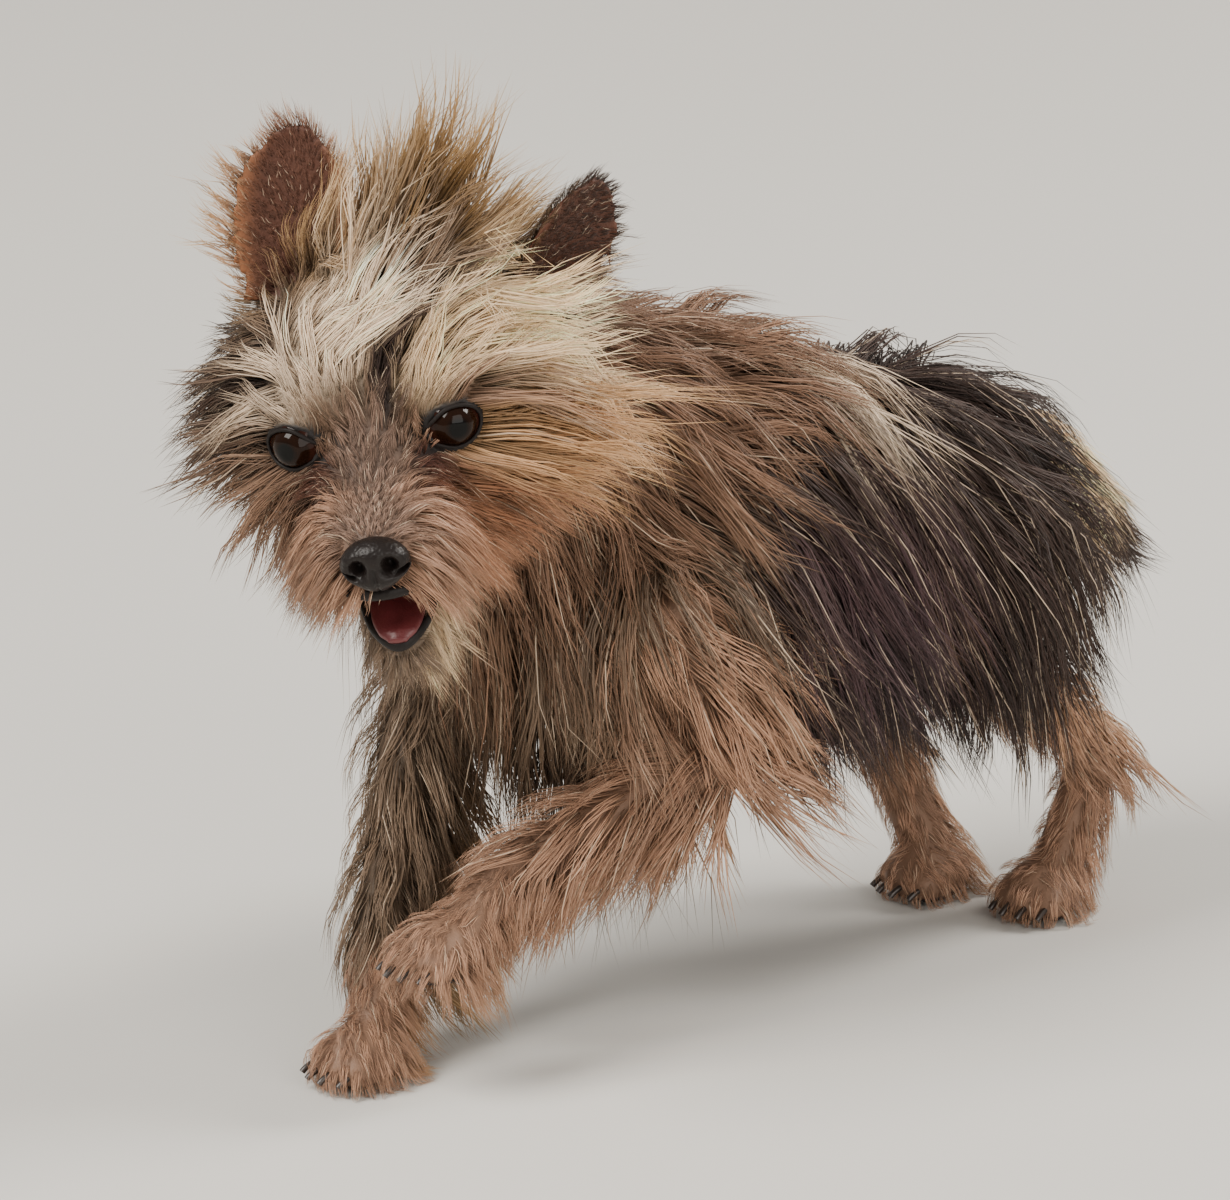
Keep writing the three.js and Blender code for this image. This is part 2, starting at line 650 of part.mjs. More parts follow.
// The ruff, in two rings that lie back over the shoulders and down the throat
const RUFF_RINGS = [
  { t: 0.66, count: 9, length: 52, wide: 7.5 },
  { t: 0.3, count: 9, length: 52, wide: 8.5 },
];
function neckLocks() {
  const locks = [];
  for (const [index, ring] of RUFF_RINGS.entries()) {
    for (let k = 0; k < ring.count; k++) {
      const angle = ((k + 0.5 * index) * 360) / ring.count;
      const low = (1 - Math.sin(rad(angle))) / 2;
      const aside = Math.cos(rad(angle)) * 0.15 + spread(0.1);
      const flow = vec(aside, mix(0.8, 0.2, low), mix(-0.5, -1, low)).normalize();
      const length = ring.length * (1 + spread(0.1));
      locks.push(lockOn(neckForm, ring.t, angle, { flow, stand: 0.3, length, wide: ring.wide }));
    }
  }
  return locks;
}

// Hair of the head in rings round the skull, from the brow to the nape. Each has how far along the skull it
// stands, the lowest lock in degrees from level, the number of locks on each side, their length, half width.
const SKULL_RINGS = [
  { t: 0.74, lowest: -44, count: 5, length: 46, wide: 6.2 },
  { t: 0.46, lowest: -54, count: 5, length: 48, wide: 7 },
  { t: 0.16, lowest: -36, count: 4, length: 42, wide: 8 },
];
const HIGHEST = 80;
// Ways of the hair as forwards, out to the side and up: level with the eyes, low on the cheeks, and on the
// crown, which the wind also blows to the left
const LEVEL_WAY = { left: [-0.65, 0.8, -0.15], right: [-0.65, 0.5, -0.15] };
const CHEEK_WAY = [-0.65, 0.5, -0.85];
const CROWN_WAY = [-0.5, 0.35, 0.62];
const CROWN_BLOWN = 0.3;
const blend = (from, to, share) => from.map((value, i) => mix(value, to[i], share));
// How far the hair at t and up degrees stands up as the crown does
const crownShare = (t, up) => smoothstep(up, 38, 78) * smoothstep(t, 0.3, 0.5);
function skullFlow(t, up, side) {
  const crown = crownShare(t, up);
  const low = smoothstep(-up, -10, 50);
  const beside = blend(side > 0 ? LEVEL_WAY.left : LEVEL_WAY.right, CHEEK_WAY, low);
  const [forward, outward, rise] = blend(beside, CROWN_WAY, crown);
  return headWay(forward + spread(0.1), side * outward + crown * CROWN_BLOWN, rise + spread(0.1));
}
// Moustache and whiskers on each side of the muzzle, as lines of: how far along it, degrees up from level,
// the way (forwards, out to the side, up), length and half width
const WHISKERS = [
  [0.86, -14, [-0.1, 0.7, -0.7], 24, 3.8],
  [0.66, -30, [-0.25, 0.65, -0.7], 32, 4.6],
  [0.6, 6, [-0.2, 0.95, -0.3], 40, 4.6],
  [0.4, -18, [-0.4, 0.8, -0.5], 44, 5.2],
  [0.3, 20, [-0.4, 0.95, -0.2], 46, 5.2],
];
// Single long locks, as lines of: how far along the skull, degrees round it from its left, the way,
// length and half width
const STRAY_LOCKS = [
  [0.7, 158, [-0.35, -0.95, 0.0], 38, 6.4],
  [0.62, 144, [-0.5, -0.9, 0.15], 36, 6.4],
  [0.76, 4, [-0.5, 0.95, -0.1], 58, 5.6],
  [0.5, 72, [-0.15, 0.35, 0.92], 52, 6.4],
  [0.5, 50, [-0.15, 0.6, 0.78], 44, 6.2],
  [0.56, 92, [-0.3, 0.12, 0.92], 38, 6],
];
const STRAY_HAIR = { thick: 1.2, tipLift: 15, stand: 0.8, droop: 0.4 };
const WHISKER_HAIR = { thick: 1.2, tipLift: 9, stand: 0.4, droop: 1.1 };
function headLocks() {
  const locks = [];
  for (const side of [1, -1]) {
    const around = (up) => (side > 0 ? up : 180 - up);
    for (const [index, ring] of SKULL_RINGS.entries()) {
      for (let k = 0; k < ring.count; k++) {
        const up = mix(ring.lowest, HIGHEST, (k + 0.4 * (index % 2)) / (ring.count - 0.6)) + spread(3);
        const flow = skullFlow(ring.t, up, side);
        const standing = crownShare(ring.t, up);
        const length = ring.length * (1 + spread(0.12));
        const tipLift = mix(9, 20, standing);
        const bent = { tipLift, stand: mix(0.3, 0.9, standing), droop: mix(0.7, 0.45, standing) };
        const rooted = { flow, length, wide: ring.wide, thick: 1.2, ...bent };
        locks.push(lockOn(skullForm, ring.t, around(up), rooted));
      }
    }
    for (const [t, up, [forward, outward, rise], length, wide] of WHISKERS) {
      const flow = headWay(forward, side * outward, rise);
      locks.push(lockOn(muzzleForm, t, around(up), { flow, length, wide, ...WHISKER_HAIR }));
    }
  }
  for (const [t, angle, way, length, wide] of STRAY_LOCKS) {
    locks.push(lockOn(skullForm, t, angle, { flow: headWay(...way), length, wide, ...STRAY_HAIR }));
  }
  return locks;
}

// The beard below the jaw, as lines of: how far along the jaw, and degrees round it
const BEARD_HAIR = { stand: 0.4, length: 26, wide: 4.6, thick: 1.2, tipLift: 5 };
const BEARD = [[0.84, 238], [0.84, 302], [0.55, 200], [0.5, 270], [0.55, 340]];
function jawLocks() {
  return BEARD.map(([t, angle]) => {
    const flow = headWay(-0.45, Math.cos(rad(angle)) * 0.35, -0.85);
    return lockOn(jawForm, t, angle, { flow, ...BEARD_HAIR });
  });
}

// The plume of the tail, as lines of: how far along the tail, and degrees round it
const PLUME = [
  ...[[0.2, 90], [0.3, 30], [0.3, 150], [0.5, 75], [0.5, 200]],
  ...[[0.5, 340], [0.7, 110], [0.7, 250], [0.9, 60], [0.9, 180]],
];
const PLUME_HAIR = { stand: 0.3, length: 32, wide: 4, thick: 1.2, lift: 1, tipLift: 4 };
function tailLocks() {
  return PLUME.map(([t, angle]) => {
    const flow = vec(Math.cos(rad(angle)) * -0.15 + spread(0.1), 0.62, -0.75).normalize();
    return lockOn(tailForm, t, angle, { flow, ...PLUME_HAIR });
  });
}

// Feathering of a leg: it lies down the limb on the outside and in front, and trails behind it
const FORE_TRAIL = vec(0, 0.9, -0.25);
const HIND_TRAIL = vec(0, 0.5, -0.7);
const FEATHER = { stand: 0.25, thick: 1.2, lift: 1, tipLift: 4 };
const FEATHER_ROWS = [270, 330]; // degrees round a left leg: behind, and behind on the outside
const mirrorRow = (angle, side) => (side > 0 ? angle : 540 - angle);
function legLocks(form, leg, { count, length, wide }) {
  const locks = [];
  const trail = leg.hind ? HIND_TRAIL : FORE_TRAIL;
  for (let k = 0; k < count; k++) {
    for (const [row, angle] of FEATHER_ROWS.entries()) {
      const t = 0.12 + (0.76 * (k + 0.4 * row)) / Math.max(1, count - 0.6);
      const flow = form.section(t).along.clone().multiplyScalar(0.7).add(trail).normalize();
      const sized = { length: length * (1 + spread(0.15)), wide: wide * (1 + spread(0.1)) };
      locks.push(lockOn(form, t, mirrorRow(angle, leg.side) + spread(8), { flow, ...FEATHER, ...sized }));
    }
  }
  return locks;
}
const FORE_HAIR = {
  upper: { count: 3, length: 40, wide: 5 },
  lower: { count: 4, length: 42, wide: 4.2 },
  paw: { count: 1, length: 16, wide: 3 },
};
const HIND_HAIR = {
  upper: { count: 1, length: 34, wide: 5 },
  lower: { count: 3, length: 30, wide: 3.8 },
  paw: { count: 1, length: 15, wide: 3 },
};

// Every node, in the order in which later ones are cut clear of earlier ones
const nodes = [];
const add = (name, look, shapes, carve = []) => nodes.push({ name, look, shapes, carve });
for (const [name, side] of [["eye_left", 1], ["eye_right", -1]]) {
  const centre = onHead(EYE.forward, (side * EYE.apart) / 2, 0);
  add(name, LOOKS.eye, [ball(centre, vec(1, 1, 1).multiplyScalar(2 * EYE.radius), [10, 8])]);
}
const noseSize = vec(NOSE.depth, NOSE.width, NOSE.height);
add("nose", LOOKS.leather, [ball(onHead(33, 0, -20), noseSize, [11, 7])], nostrils());
add("tongue", LOOKS.tongue, [tongueForm.shape()]);
for (const [side, ear] of Object.entries(ears)) add(`ear_${side}`, ear.look, [ear.shape(), ...ear.fringe()]);
add(
  "head",
  LOOKS.gold,
  [skullForm.shape(), muzzleForm.shape(), lids(1), lids(-1), lip(UPPER_LIP, LIP.upper), ...headLocks()],
  [lidOpening(1), lidOpening(-1)],
);
add("jaw", LOOKS.gold, [jawForm.shape(), lip(LOWER_LIP, LIP.lower), ...jawLocks()]);
add("neck", LOOKS.grey, [neckForm.shape(), ...neckLocks()]);
for (const [name, leg] of Object.entries(LEGS)) {
  const hair = leg.hind ? HIND_HAIR : FORE_HAIR;
  add(`${name}_paw`, LOOKS.tan, [leg.foot.shape(), ...pawShapes(leg), ...legLocks(leg.foot, leg, hair.paw)]);
  add(`${name}_lower_leg`, LOOKS.tan, [leg.lower.shape(), ...legLocks(leg.lower, leg, hair.lower)]);
  const look = leg.hind ? LOOKS.dark : LOOKS.grey;
  add(`${name}_upper_leg`, look, [leg.upper.shape(), ...legLocks(leg.upper, leg, hair.upper)]);
}
add("torso", LOOKS.dark, [torsoForm.shape(), ...torsoLocks()]);
add("tail", LOOKS.dark, [tailForm.shape(), ...tailLocks()]);

// Fuses each node, cuts it clear of all that stand before it and keeps its largest closed surface
const dog = new THREE.Group();
const before = [];
for (const node of nodes) {
  const fused = (extra) => fuse(node.shapes.map((shape) => solidOf(shape, extra)));
  let solid = fused(0).trimByPlane([0, 0, 1], FLOOR);
  if (before.length) solid = solid.subtract(fuse(before));
  if (node.carve.length) solid = solid.subtract(fuse(node.carve.map((shape) => solidOf(shape))));
  solid = largest(largest(solid).simplify(SMALLEST_EDGE));
  before.push(fused(GAP));
  const { vertProperties, triVerts, numProp } = solid.getMesh();
  const geometry = new THREE.BufferGeometry();
  geometry.setAttribute("position", new THREE.BufferAttribute(new Float32Array(vertProperties), numProp));
  geometry.setIndex(new THREE.BufferAttribute(new Uint32Array(triVerts), 1));
  geometry.computeVertexNormals();
  const mesh = new THREE.Mesh(geometry, new THREE.MeshStandardMaterial({ metalness: 0, ...node.look }));
  mesh.name = node.name;
  dog.add(mesh);
}

// The origin goes to the floor under the middle of the whole model
const whole = new THREE.Box3().setFromObject(dog);
const middle = whole.getCenter(vec(0, 0, 0));
dog.position.set(-middle.x, -middle.y, -whole.min.z);

export default dog;
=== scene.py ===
"""A Yorkshire terrier at a run, life size: skin, coat, eyes, nose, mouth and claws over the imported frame."""

import math

import bpy
import numpy as np
from bpy.props import FloatProperty, FloatVectorProperty, IntProperty, PointerProperty
from mathutils import Matrix, Vector
from mathutils.bvhtree import BVHTree
from mathutils.kdtree import KDTree


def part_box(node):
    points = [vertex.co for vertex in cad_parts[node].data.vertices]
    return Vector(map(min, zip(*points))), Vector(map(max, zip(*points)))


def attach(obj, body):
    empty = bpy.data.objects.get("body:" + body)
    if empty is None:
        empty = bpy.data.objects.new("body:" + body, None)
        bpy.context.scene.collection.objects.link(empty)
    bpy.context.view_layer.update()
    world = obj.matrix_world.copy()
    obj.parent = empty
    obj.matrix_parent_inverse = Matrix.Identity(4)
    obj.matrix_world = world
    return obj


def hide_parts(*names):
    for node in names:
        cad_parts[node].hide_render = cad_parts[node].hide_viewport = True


bl_info = {
    "name": "Running Yorkshire Terrier",
    "version": (1, 0, 0),
    "blender": (4, 5, 0),
    "location": "3D Viewport > Sidebar > Terrier",
    "description": "Builds a life-size terrier at a run, with its long coat",
    "category": "Object",
}

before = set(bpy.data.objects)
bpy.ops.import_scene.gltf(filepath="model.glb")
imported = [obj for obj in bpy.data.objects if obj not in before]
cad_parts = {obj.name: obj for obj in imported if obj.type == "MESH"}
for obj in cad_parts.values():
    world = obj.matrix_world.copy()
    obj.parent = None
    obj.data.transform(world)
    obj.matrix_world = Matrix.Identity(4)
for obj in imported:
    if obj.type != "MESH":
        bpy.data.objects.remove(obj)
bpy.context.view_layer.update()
BODY = "root"

# Shapes are worked out in millimetres, with +X the left side, -Y the front and the floor at zero.
MM = 0.001
# The head's middle lies between its eyes. It is turned, nodded and tilted by degrees.
HEAD_AT = np.array([16.0, -24.0, 177.0])
HEAD_TURN = 40
HEAD_NOD = 7
HEAD_TILT = 10
HEAD = np.array(
    Matrix.Rotation(math.radians(HEAD_TURN - 90), 3, "Z")
    @ Matrix.Rotation(math.radians(HEAD_NOD), 3, "Y")
    @ Matrix.Rotation(math.radians(HEAD_TILT), 3, "X")
)
EYE_RADIUS = 8.0
EYE_APART = 36.0
EYE_FORWARD = -4.0
EYE_LOOKS_OUT = 24
SEED = 7


def on_head(places):
    """Points of the head's own frame (forwards, left, up from between the eyes) in the body's frame."""
    return HEAD_AT + np.asarray(places, float) @ HEAD.T


def off_head(points):
    return (np.asarray(points, float) - HEAD_AT) @ HEAD


def head_way(ways):
    return unit(np.asarray(ways, float) @ HEAD.T)


def unit(vectors):
    size = np.linalg.norm(vectors, axis=-1, keepdims=True)
    return vectors / np.maximum(size, 1e-9)


def mix(low, high, share):
    return low + (high - low) * share


def smoothstep(value, low, high):
    share = np.clip((value - low) / (high - low), 0, 1)
    return share * share * (3 - 2 * share)


def eye_centre(side):
    return on_head([EYE_FORWARD, side * EYE_APART / 2, 0])


def eye_axes(side):
    """The ways of an eye's gaze, its left and its up, as columns."""
    return HEAD @ np.array(Matrix.Rotation(side * math.radians(EYE_LOOKS_OUT), 3, "Z"))


def off_middle(places, middle, reach):
    """How far places are from the middle of an ellipsoid, 1 being its surface."""
    return np.linalg.norm((places - np.array(middle)) / np.array(reach), axis=1)


EYE_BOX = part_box("eye_left")
SHIFT = np.array((EYE_BOX[0] + EYE_BOX[1]) / 2) / MM - eye_centre(1)


def to_frame(points):
    """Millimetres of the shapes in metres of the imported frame."""
    return (np.asarray(points, float) + SHIFT) * MM


def linear(hex_colour):
    """An sRGB hex colour as linear red, green and blue."""
    values = np.array([int(hex_colour[k : k + 2], 16) for k in (1, 3, 5)]) / 255
    return tuple(np.where(values <= 0.04045, values / 12.92, ((values + 0.055) / 1.055) ** 2.4))


def follow(values, t, even):
    """A Catmull-Rom curve through values at t from 0 to 1, with even steps or with steps by distance."""
    ends = (values[0], values[-1]) if even else (2 * values[0] - values[1], 2 * values[-1] - values[-2])
    padded = np.vstack([ends[0], values, ends[1]])
    place = np.clip(t, 0, 1) * (len(values) - 1)
    index = np.minimum(place.astype(int), len(values) - 2)
    share = (place - index)[:, None]
    before, start, end, after = (padded[index + k] for k in range(4))
    if even:
        leave, arrive = (end - before) / 2, (after - start) / 2
    else:
        pairs = ((before, start), (start, end), (end, after))
        first, middle, last = (np.sqrt(np.linalg.norm(b - a, axis=1))[:, None] for a, b in pairs)
        across = (end - start) / middle
        leave = middle * ((start - before) / first - (end - before) / (first + middle) + across)
        arrive = middle * (across - (after - start) / (middle + last) + (after - end) / last)
    square, cube = share**2, share**3
    return (
        (2 * cube - 3 * square + 1) * start
        + (cube - 2 * square + share) * leave
        + (3 * square - 2 * cube) * end
        + (cube - square) * arrive
    )


class Form:
    """A round limb or trunk through stations of: place, half width and half height."""

    def __init__(self, name, stations, upward=(0, 0, 1), facing=None):
        rows = np.array([[*place, *sizes] for place, *sizes in stations], float)
        self.name = name
        self.places = rows[:, :3]
        self.sizes = rows[:, 3:]
        self.upward = np.array(upward, float)
        self.facing = None if facing is None else unit(np.array(facing, float))

    def section(self, t):
        at = follow(self.places, t, False)
        if self.facing is None:
            along = unit(follow(self.places, t + 0.002, False) - follow(self.places, t - 0.002, False))
        else:
            along = np.broadcast_to(self.facing, at.shape)
        side = unit(np.cross(self.upward, along))
        up = unit(np.cross(along, side))
        wide, tall = np.maximum(follow(self.sizes, t, True), 0.1).T
        return at, along, side, up, wide, tall

    def shape(self, rings=30, sides=32):
        """The closed shape of the flesh, as points and triangles."""
        t = np.repeat(np.linspace(0, 1, rings), sides)
        angle = np.tile(np.arange(sides) * 2 * math.pi / sides, rings)[:, None]
        at, along, side, up, wide, tall = self.section(t)
        points = at + side * wide[:, None] * np.cos(angle) + up * tall[:, None] * np.sin(angle)
        ends = []
        for row, way in ((0, -1), (-1, 1)):
            ends.append(at[row] + along[row] * way * 0.6 * min(wide[row], tall[row]))
        return closed_tube(points.reshape(rings, sides, 3), ends[0], ends[1])


def closed_tube(rings, start, end):
    """Points and outward triangles of a tube of rings closed by a pole at each end."""
    count, sides = rings.shape[:2]
    points = np.vstack([start, rings.reshape(-1, 3), end])
    side = np.arange(sides)
    after = (side + 1) % sides
    faces = [np.stack([np.zeros(sides, int), 1 + after, 1 + side], axis=1)]
    for row in range(count - 1):
        low, high = 1 + row * sides, 1 + (row + 1) * sides
        faces.append(np.stack([low + side, low + after, high + after], axis=1))
        faces.append(np.stack([low + side, high + after, high + side], axis=1))
    last = 1 + (count - 1) * sides
    faces.append(np.stack([np.full(sides, len(points) - 1), last + side, last + after], axis=1))
    return outward(points, np.vstack(faces))


def outward(points, faces):
    """The same shape with its triangles turned to face outwards."""
    a, b, c = (points[faces[:, k]] for k in range(3))
    if np.einsum("ij,ij->i", a, np.cross(b, c)).sum() < 0:
        faces = faces[:, ::-1]
    return points, faces


def join(shapes):
    """Several closed shapes as one set of points and triangles."""
    start = np.cumsum([0] + [len(points) for points, _ in shapes[:-1]])
    faces = [faces + first for (_, faces), first in zip(shapes, start)]
    return np.vstack([points for points, _ in shapes]), np.vstack(faces)


def ball(centre, size, turn=None, rings=16, sides=24):
    """A closed ellipsoid of the full sizes given."""
    tilt = np.repeat(np.linspace(0, math.pi, rings + 2)[1:-1], sides)
    angle = np.tile(np.arange(sides) * 2 * math.pi / sides, rings)
    globe = np.stack([np.sin(tilt) * np.cos(angle), np.sin(tilt) * np.sin(angle), np.cos(tilt)], axis=1)
    poles = np.array([[0, 0, 1.0], [0, 0, -1.0]])
    axes = np.eye(3) if turn is None else turn
    globe, poles = ((p * np.array(size) / 2) @ axes.T + centre for p in (globe, poles))
    return closed_tube(globe.reshape(rings, sides, 3), poles[0], poles[1])


def head_stations(rows):
    return [(on_head([forward, 0, up]), wide, tall) for forward, up, wide, tall in rows]


# The flesh of the animal, under the coat
TORSO = Form(
    "torso",
    [
        ((0, 50, 119), 13, 15),
        ((0, 58, 121), 25, 27),
        ((0, 76, 124), 33, 38),
        ((0, 102, 126), 36, 44),
        ((0, 130, 123), 36, 41),
        ((0, 152, 117), 32, 34),
        ((0, 175, 115), 28, 32),
        ((0, 193, 112), 26, 30),
        ((0, 205, 108), 20, 24),
        ((0, 211, 106), 13, 15),
    ],
    facing=(0, 1, 0),
)
NECK = Form(
    "neck",
    [
        ((0, 92, 138), 25, 32),
        ((-3, 66, 152), 25, 29),
        ((-9, 42, 166), 23, 26),
        ((-14, 20, 176), 23, 24),
        ((-12, 8, 178), 18, 18),
    ],
    facing=(-14, -84, 40),
)
HEAD_AXES = {"upward": head_way([0, 0, 1]), "facing": head_way([1, 0, 0])}
SKULL = Form(
    "skull",
    head_stations(
        [
            (-56, 4, 12, 11),
            (-50, 4, 24, 21),
            (-36, 5, 31, 28),
            (-20, 4, 32, 28),
            (-8, 1, 28, 25),
            (0, -4, 23, 19),
            (6, -9, 15, 12),
        ]
    ),
    **HEAD_AXES,
)
MUZZLE = Form(
    "muzzle",
    head_stations(
        [
            (-2, -13, 17, 14),
            (9, -16, 15, 12),
            (19, -18.5, 13, 10.5),
            (27, -20.5, 11, 9),
            (30, -21, 8, 7),
        ]
    ),
    **HEAD_AXES,
)
JAW_AXES = {"upward": head_way([0.4, 0, 1]), "facing": head_way([1, 0, -0.4])}
JAW = Form(
    "jaw",
    head_stations(
        [
            (-18, -29, 14, 7),
            (-6, -34, 12, 6),
            (6, -40, 9.5, 5.5),
            (15, -45, 7.5, 4.5),
            (21, -48, 5, 3.2),
        ]
    ),
    **JAW_AXES,
)
TAIL = Form(
    "tail",
    [
        ((0, 204, 124), 7, 7),
        ((0, 222, 120), 6, 6),
        ((0, 236, 110), 5, 5),
        ((1, 246, 99), 3.5, 3.5),
    ],
    upward=(0, 1, 1),
)
TONGUE = Form(
    "tongue",
    head_stations(
        [
            (-8, -29, 7, 2.4),
            (3, -33, 7.5, 2.4),
            (12, -38, 7.2, 2.3),
            (18, -41.2, 6.4, 2.0),
            (22, -43.2, 4.6, 1.6),
            (24, -44.4, 2.4, 0.9),
        ]
    ),
    **JAW_AXES,
)
# Hip or shoulder, knee or elbow, ankle or wrist, and toes of each leg
LEG_JOINTS = {
    "fore_left": ((26, 68, 122), (32, 84, 76), (13, 26, 54), (12, 4, 38)),
    "fore_right": ((-26, 60, 120), (-37, 42, 82), (-20, 11, 30), (-9, -2, 7)),
    "hind_left": ((24, 188, 110), (30, 178, 80), (26, 226, 42), (22, 214, 7)),
    "hind_right": ((-24, 186, 110), (-27, 162, 90), (-20, 192, 44), (-9, 204, 7)),
}
LEG_UP = (0, -1, 0.2)
# Half widths and half heights at the top, the middle and the foot of an upper leg, and at the ankle
THIGH = ((16, 25), (14, 19), (11, 13))
UPPER_ARM = ((13, 17), (11, 13), (9, 10))
ANKLE = (6.2, 6.8)


def leg_forms(name, joints):
    """The upper leg, lower leg and foot of one leg."""
    hip, knee, ankle, toe = (np.array(joint, float) for joint in joints)
    hind = name.startswith("hind")
    thick = THIGH if hind else UPPER_ARM
    upper = [
        (hip, *thick[0]),
        (mix(hip, knee, 0.55), *thick[1]),
        (knee, *thick[2]),
    ]
    lower = [
        (knee, 8.5, 11 if hind else 9),
        (mix(knee, ankle, 0.5), 7, 8),
        (ankle, *ANKLE),
    ]
    foot = [
        (ankle, *ANKLE),
        (mix(ankle, toe, 0.55), 6.5, 6.5),
        (toe, 7.5, 6.5),
    ]
    parts = {"upper": upper, "lower": lower, "foot": foot}
    return {part: Form(f"{name}_{part}", rows, upward=LEG_UP) for part, rows in parts.items()}


LEGS = {name: leg_forms(name, joints) for name, joints in LEG_JOINTS.items()}

PAW_SIZE = (20, 23, 17)
TOE_SIZE = (6.5, 11, 10)
TOE_APART = 5
TOE_REACH = 12
TOE_CURVE = 2.2
TOE_DROP = 1.5
TOE_ROWS = (-1.5, -0.5, 0.5, 1.5)
PAW_REACH = 3
STANDING_BELOW = 10


def paw_places(name):
    """The middle of a paw, the way it points, the way across it and the middles of its four toes."""
    _, _, ankle, toe = (np.array(joint, float) for joint in LEG_JOINTS[name])
    side = 1 if name.endswith("left") else -1
    resting = toe[2] < STANDING_BELOW
    forward = np.array([0.12 * side, -1, 0]) if resting else (toe - ankle) * (1, 1, 0)
    forward = unit(forward)
    across = np.array([-forward[1], forward[0], 0])
    toes = []
    for k in TOE_ROWS:
        reach = TOE_REACH - abs(k) * TOE_CURVE
        toes.append(toe + forward * reach + across * k * TOE_APART + (0, 0, -TOE_DROP))
    return toe + forward * PAW_REACH, forward, across, toes


def paw_shapes(name):
    """The pad and the toes of one paw."""
    middle, forward, across, toes = paw_places(name)
    turn = np.stack([across, forward, (0, 0, 1)], axis=1)
    shapes = [ball(middle, PAW_SIZE, turn)]
    shapes += [ball(toe, TOE_SIZE, turn, 12, 16) for toe in toes]
    return shapes


class Ear:
    """A cupped leaf from base to tip. Its cup looks along facing."""

    width = 34
    cup = 7
    thickness = 2.6

    def __init__(self, name, base, tip, facing):
        self.name = name
        self.base = on_head(base)
        up = on_head(tip) - self.base
        self.length = np.linalg.norm(up)
        self.up = unit(up)
        self.across = unit(np.cross(head_way(facing), self.up))
        self.out = np.cross(self.up, self.across)

    def half_width(self, u):
        return self.width * 0.5 * (0.8 + 0.48 * u - 0.95 * u**4)

    def bow(self, u, v):
        return self.cup * (1 - 0.55 * u) * (v * v - 0.5) - 3 * u * u

    def at(self, u, v, side):
        """Points of the ear, on its front at side 1 and on its back at side -1."""
        u, v = np.asarray(u, float)[..., None], np.asarray(v, float)[..., None]
        half = np.asarray(side, float)[..., None] * self.thickness / 2 * (1 - 0.25 * u)
        return (
            self.base
            + self.up * (u * self.length - 2 * v * v)
            + self.across * v * self.half_width(u)
            + self.out * (self.bow(u, v) + half)
        )

    def places(self, points):
        """How far up the ear, across it and in front of its middle layer points are."""
        gap = points - self.base
        across = gap @ self.across
        u = (gap @ self.up) / self.length
        v = across / self.half_width(np.clip(u, 0, 1))
        u = u + 2 * np.clip(v, -1, 1) ** 2 / self.length
        return u, v, gap @ self.out - self.bow(np.clip(u, 0, 1), np.clip(v, -1.1, 1.1))

    def holds(self, u, v, front, lowest, widest, thickest):
        """Whether points are high enough up the ear and near enough to its middle layer to be its own."""
        return (u > lowest) & (np.abs(v) < widest) & (np.abs(front) < thickest)

    def shape(self, steps=24, sides=48):
        """A closed cupped leaf with a round edge."""
        rings = []
        for u in np.linspace(0, 1, steps):
            turn = np.arange(sides) * 2 * math.pi / sides
            rings.append(self.at(np.full(sides, u), np.cos(turn), np.sin(turn)))
        rings = np.array(rings)
        return closed_tube(rings, rings[0].mean(axis=0), rings[-1].mean(axis=0))


EARS = {
    1: Ear("ear_left", (-36, 38, 14), (-47, 62, 37), (0.65, 0.7, -0.3)),
    -1: Ear("ear_right", (-30, -18, 26), (-37, -11, 68), (0.9, -0.3, 0.05)),
}

FORMS = [TORSO, NECK, SKULL, MUZZLE, JAW, TAIL] + [form for leg in LEGS.values() for form in leg.values()]
REGIONS = [form.name for form in FORMS] + ["ear_left", "ear_right"]


class CoatSettings(bpy.types.PropertyGroup):
    """Sizes of the hair."""

    strand: FloatProperty(
        name="Strand",
        description="Half width of a long strand, in millimetres",
        default=0.23,
        min=0.05,
    )
    fill: FloatProperty(
        name="Fill",
        description="Share of the full number of strands",
        default=1.0,
        min=0.02,
        max=1.2,
    )
    pinch: FloatProperty(
        name="Pinch",
        description="How far strands draw together into locks",
        default=0.74,
        min=0,
        max=1,
    )
    strays: FloatProperty(
        name="Strays",
        description="Share of strands that join the next lock",
        default=0.22,
        min=0,
        max=1,
    )
    frizz: FloatProperty(
        name="Frizz",
        description="How far single strands stray, in millimetres",
        default=1.9,
        min=0,
    )
    curl: FloatProperty(
        name="Curl",
        description="How far locks bend to and fro",
        default=0.09,
        min=0,
    )


class SkinSettings(bpy.types.PropertyGroup):
    """Sizes of the skin."""

    grain: FloatProperty(
        name="Grain",
        description="Edge of a face of the skin",
        default=0.0012,
        min=0.0008,
        unit="LENGTH",
    )
    rounds: IntProperty(
        name="Smoothing",
        description="Rounds of smoothing where limbs meet",
        default=10,
        min=0,
    )


class FaceSettings(bpy.types.PropertyGroup):
    """Sizes of the eyes and lips."""

    lid_width: FloatProperty(
        name="Eye Width",
        description="Width between the lids",
        default=0.013,
        unit="LENGTH",
    )
    lid_height: FloatProperty(
        name="Eye Height",
        description="Height between the lids",
        default=0.0099,
        unit="LENGTH",
    )
    iris: FloatProperty(
        name="Iris",
        description="Radius of the iris",
        default=0.0052,
        unit="LENGTH",
    )
    lip: FloatProperty(
        name="Lip",
        description="Half thickness of the upper lip",
        default=0.0017,
        unit="LENGTH",
    )


def colour_property(name, description, hex_colour):
    return FloatVectorProperty(
        name=name,
        description=description,
        subtype="COLOR",
        size=3,
        min=0,
        max=1,
        default=linear(hex_colour),
    )


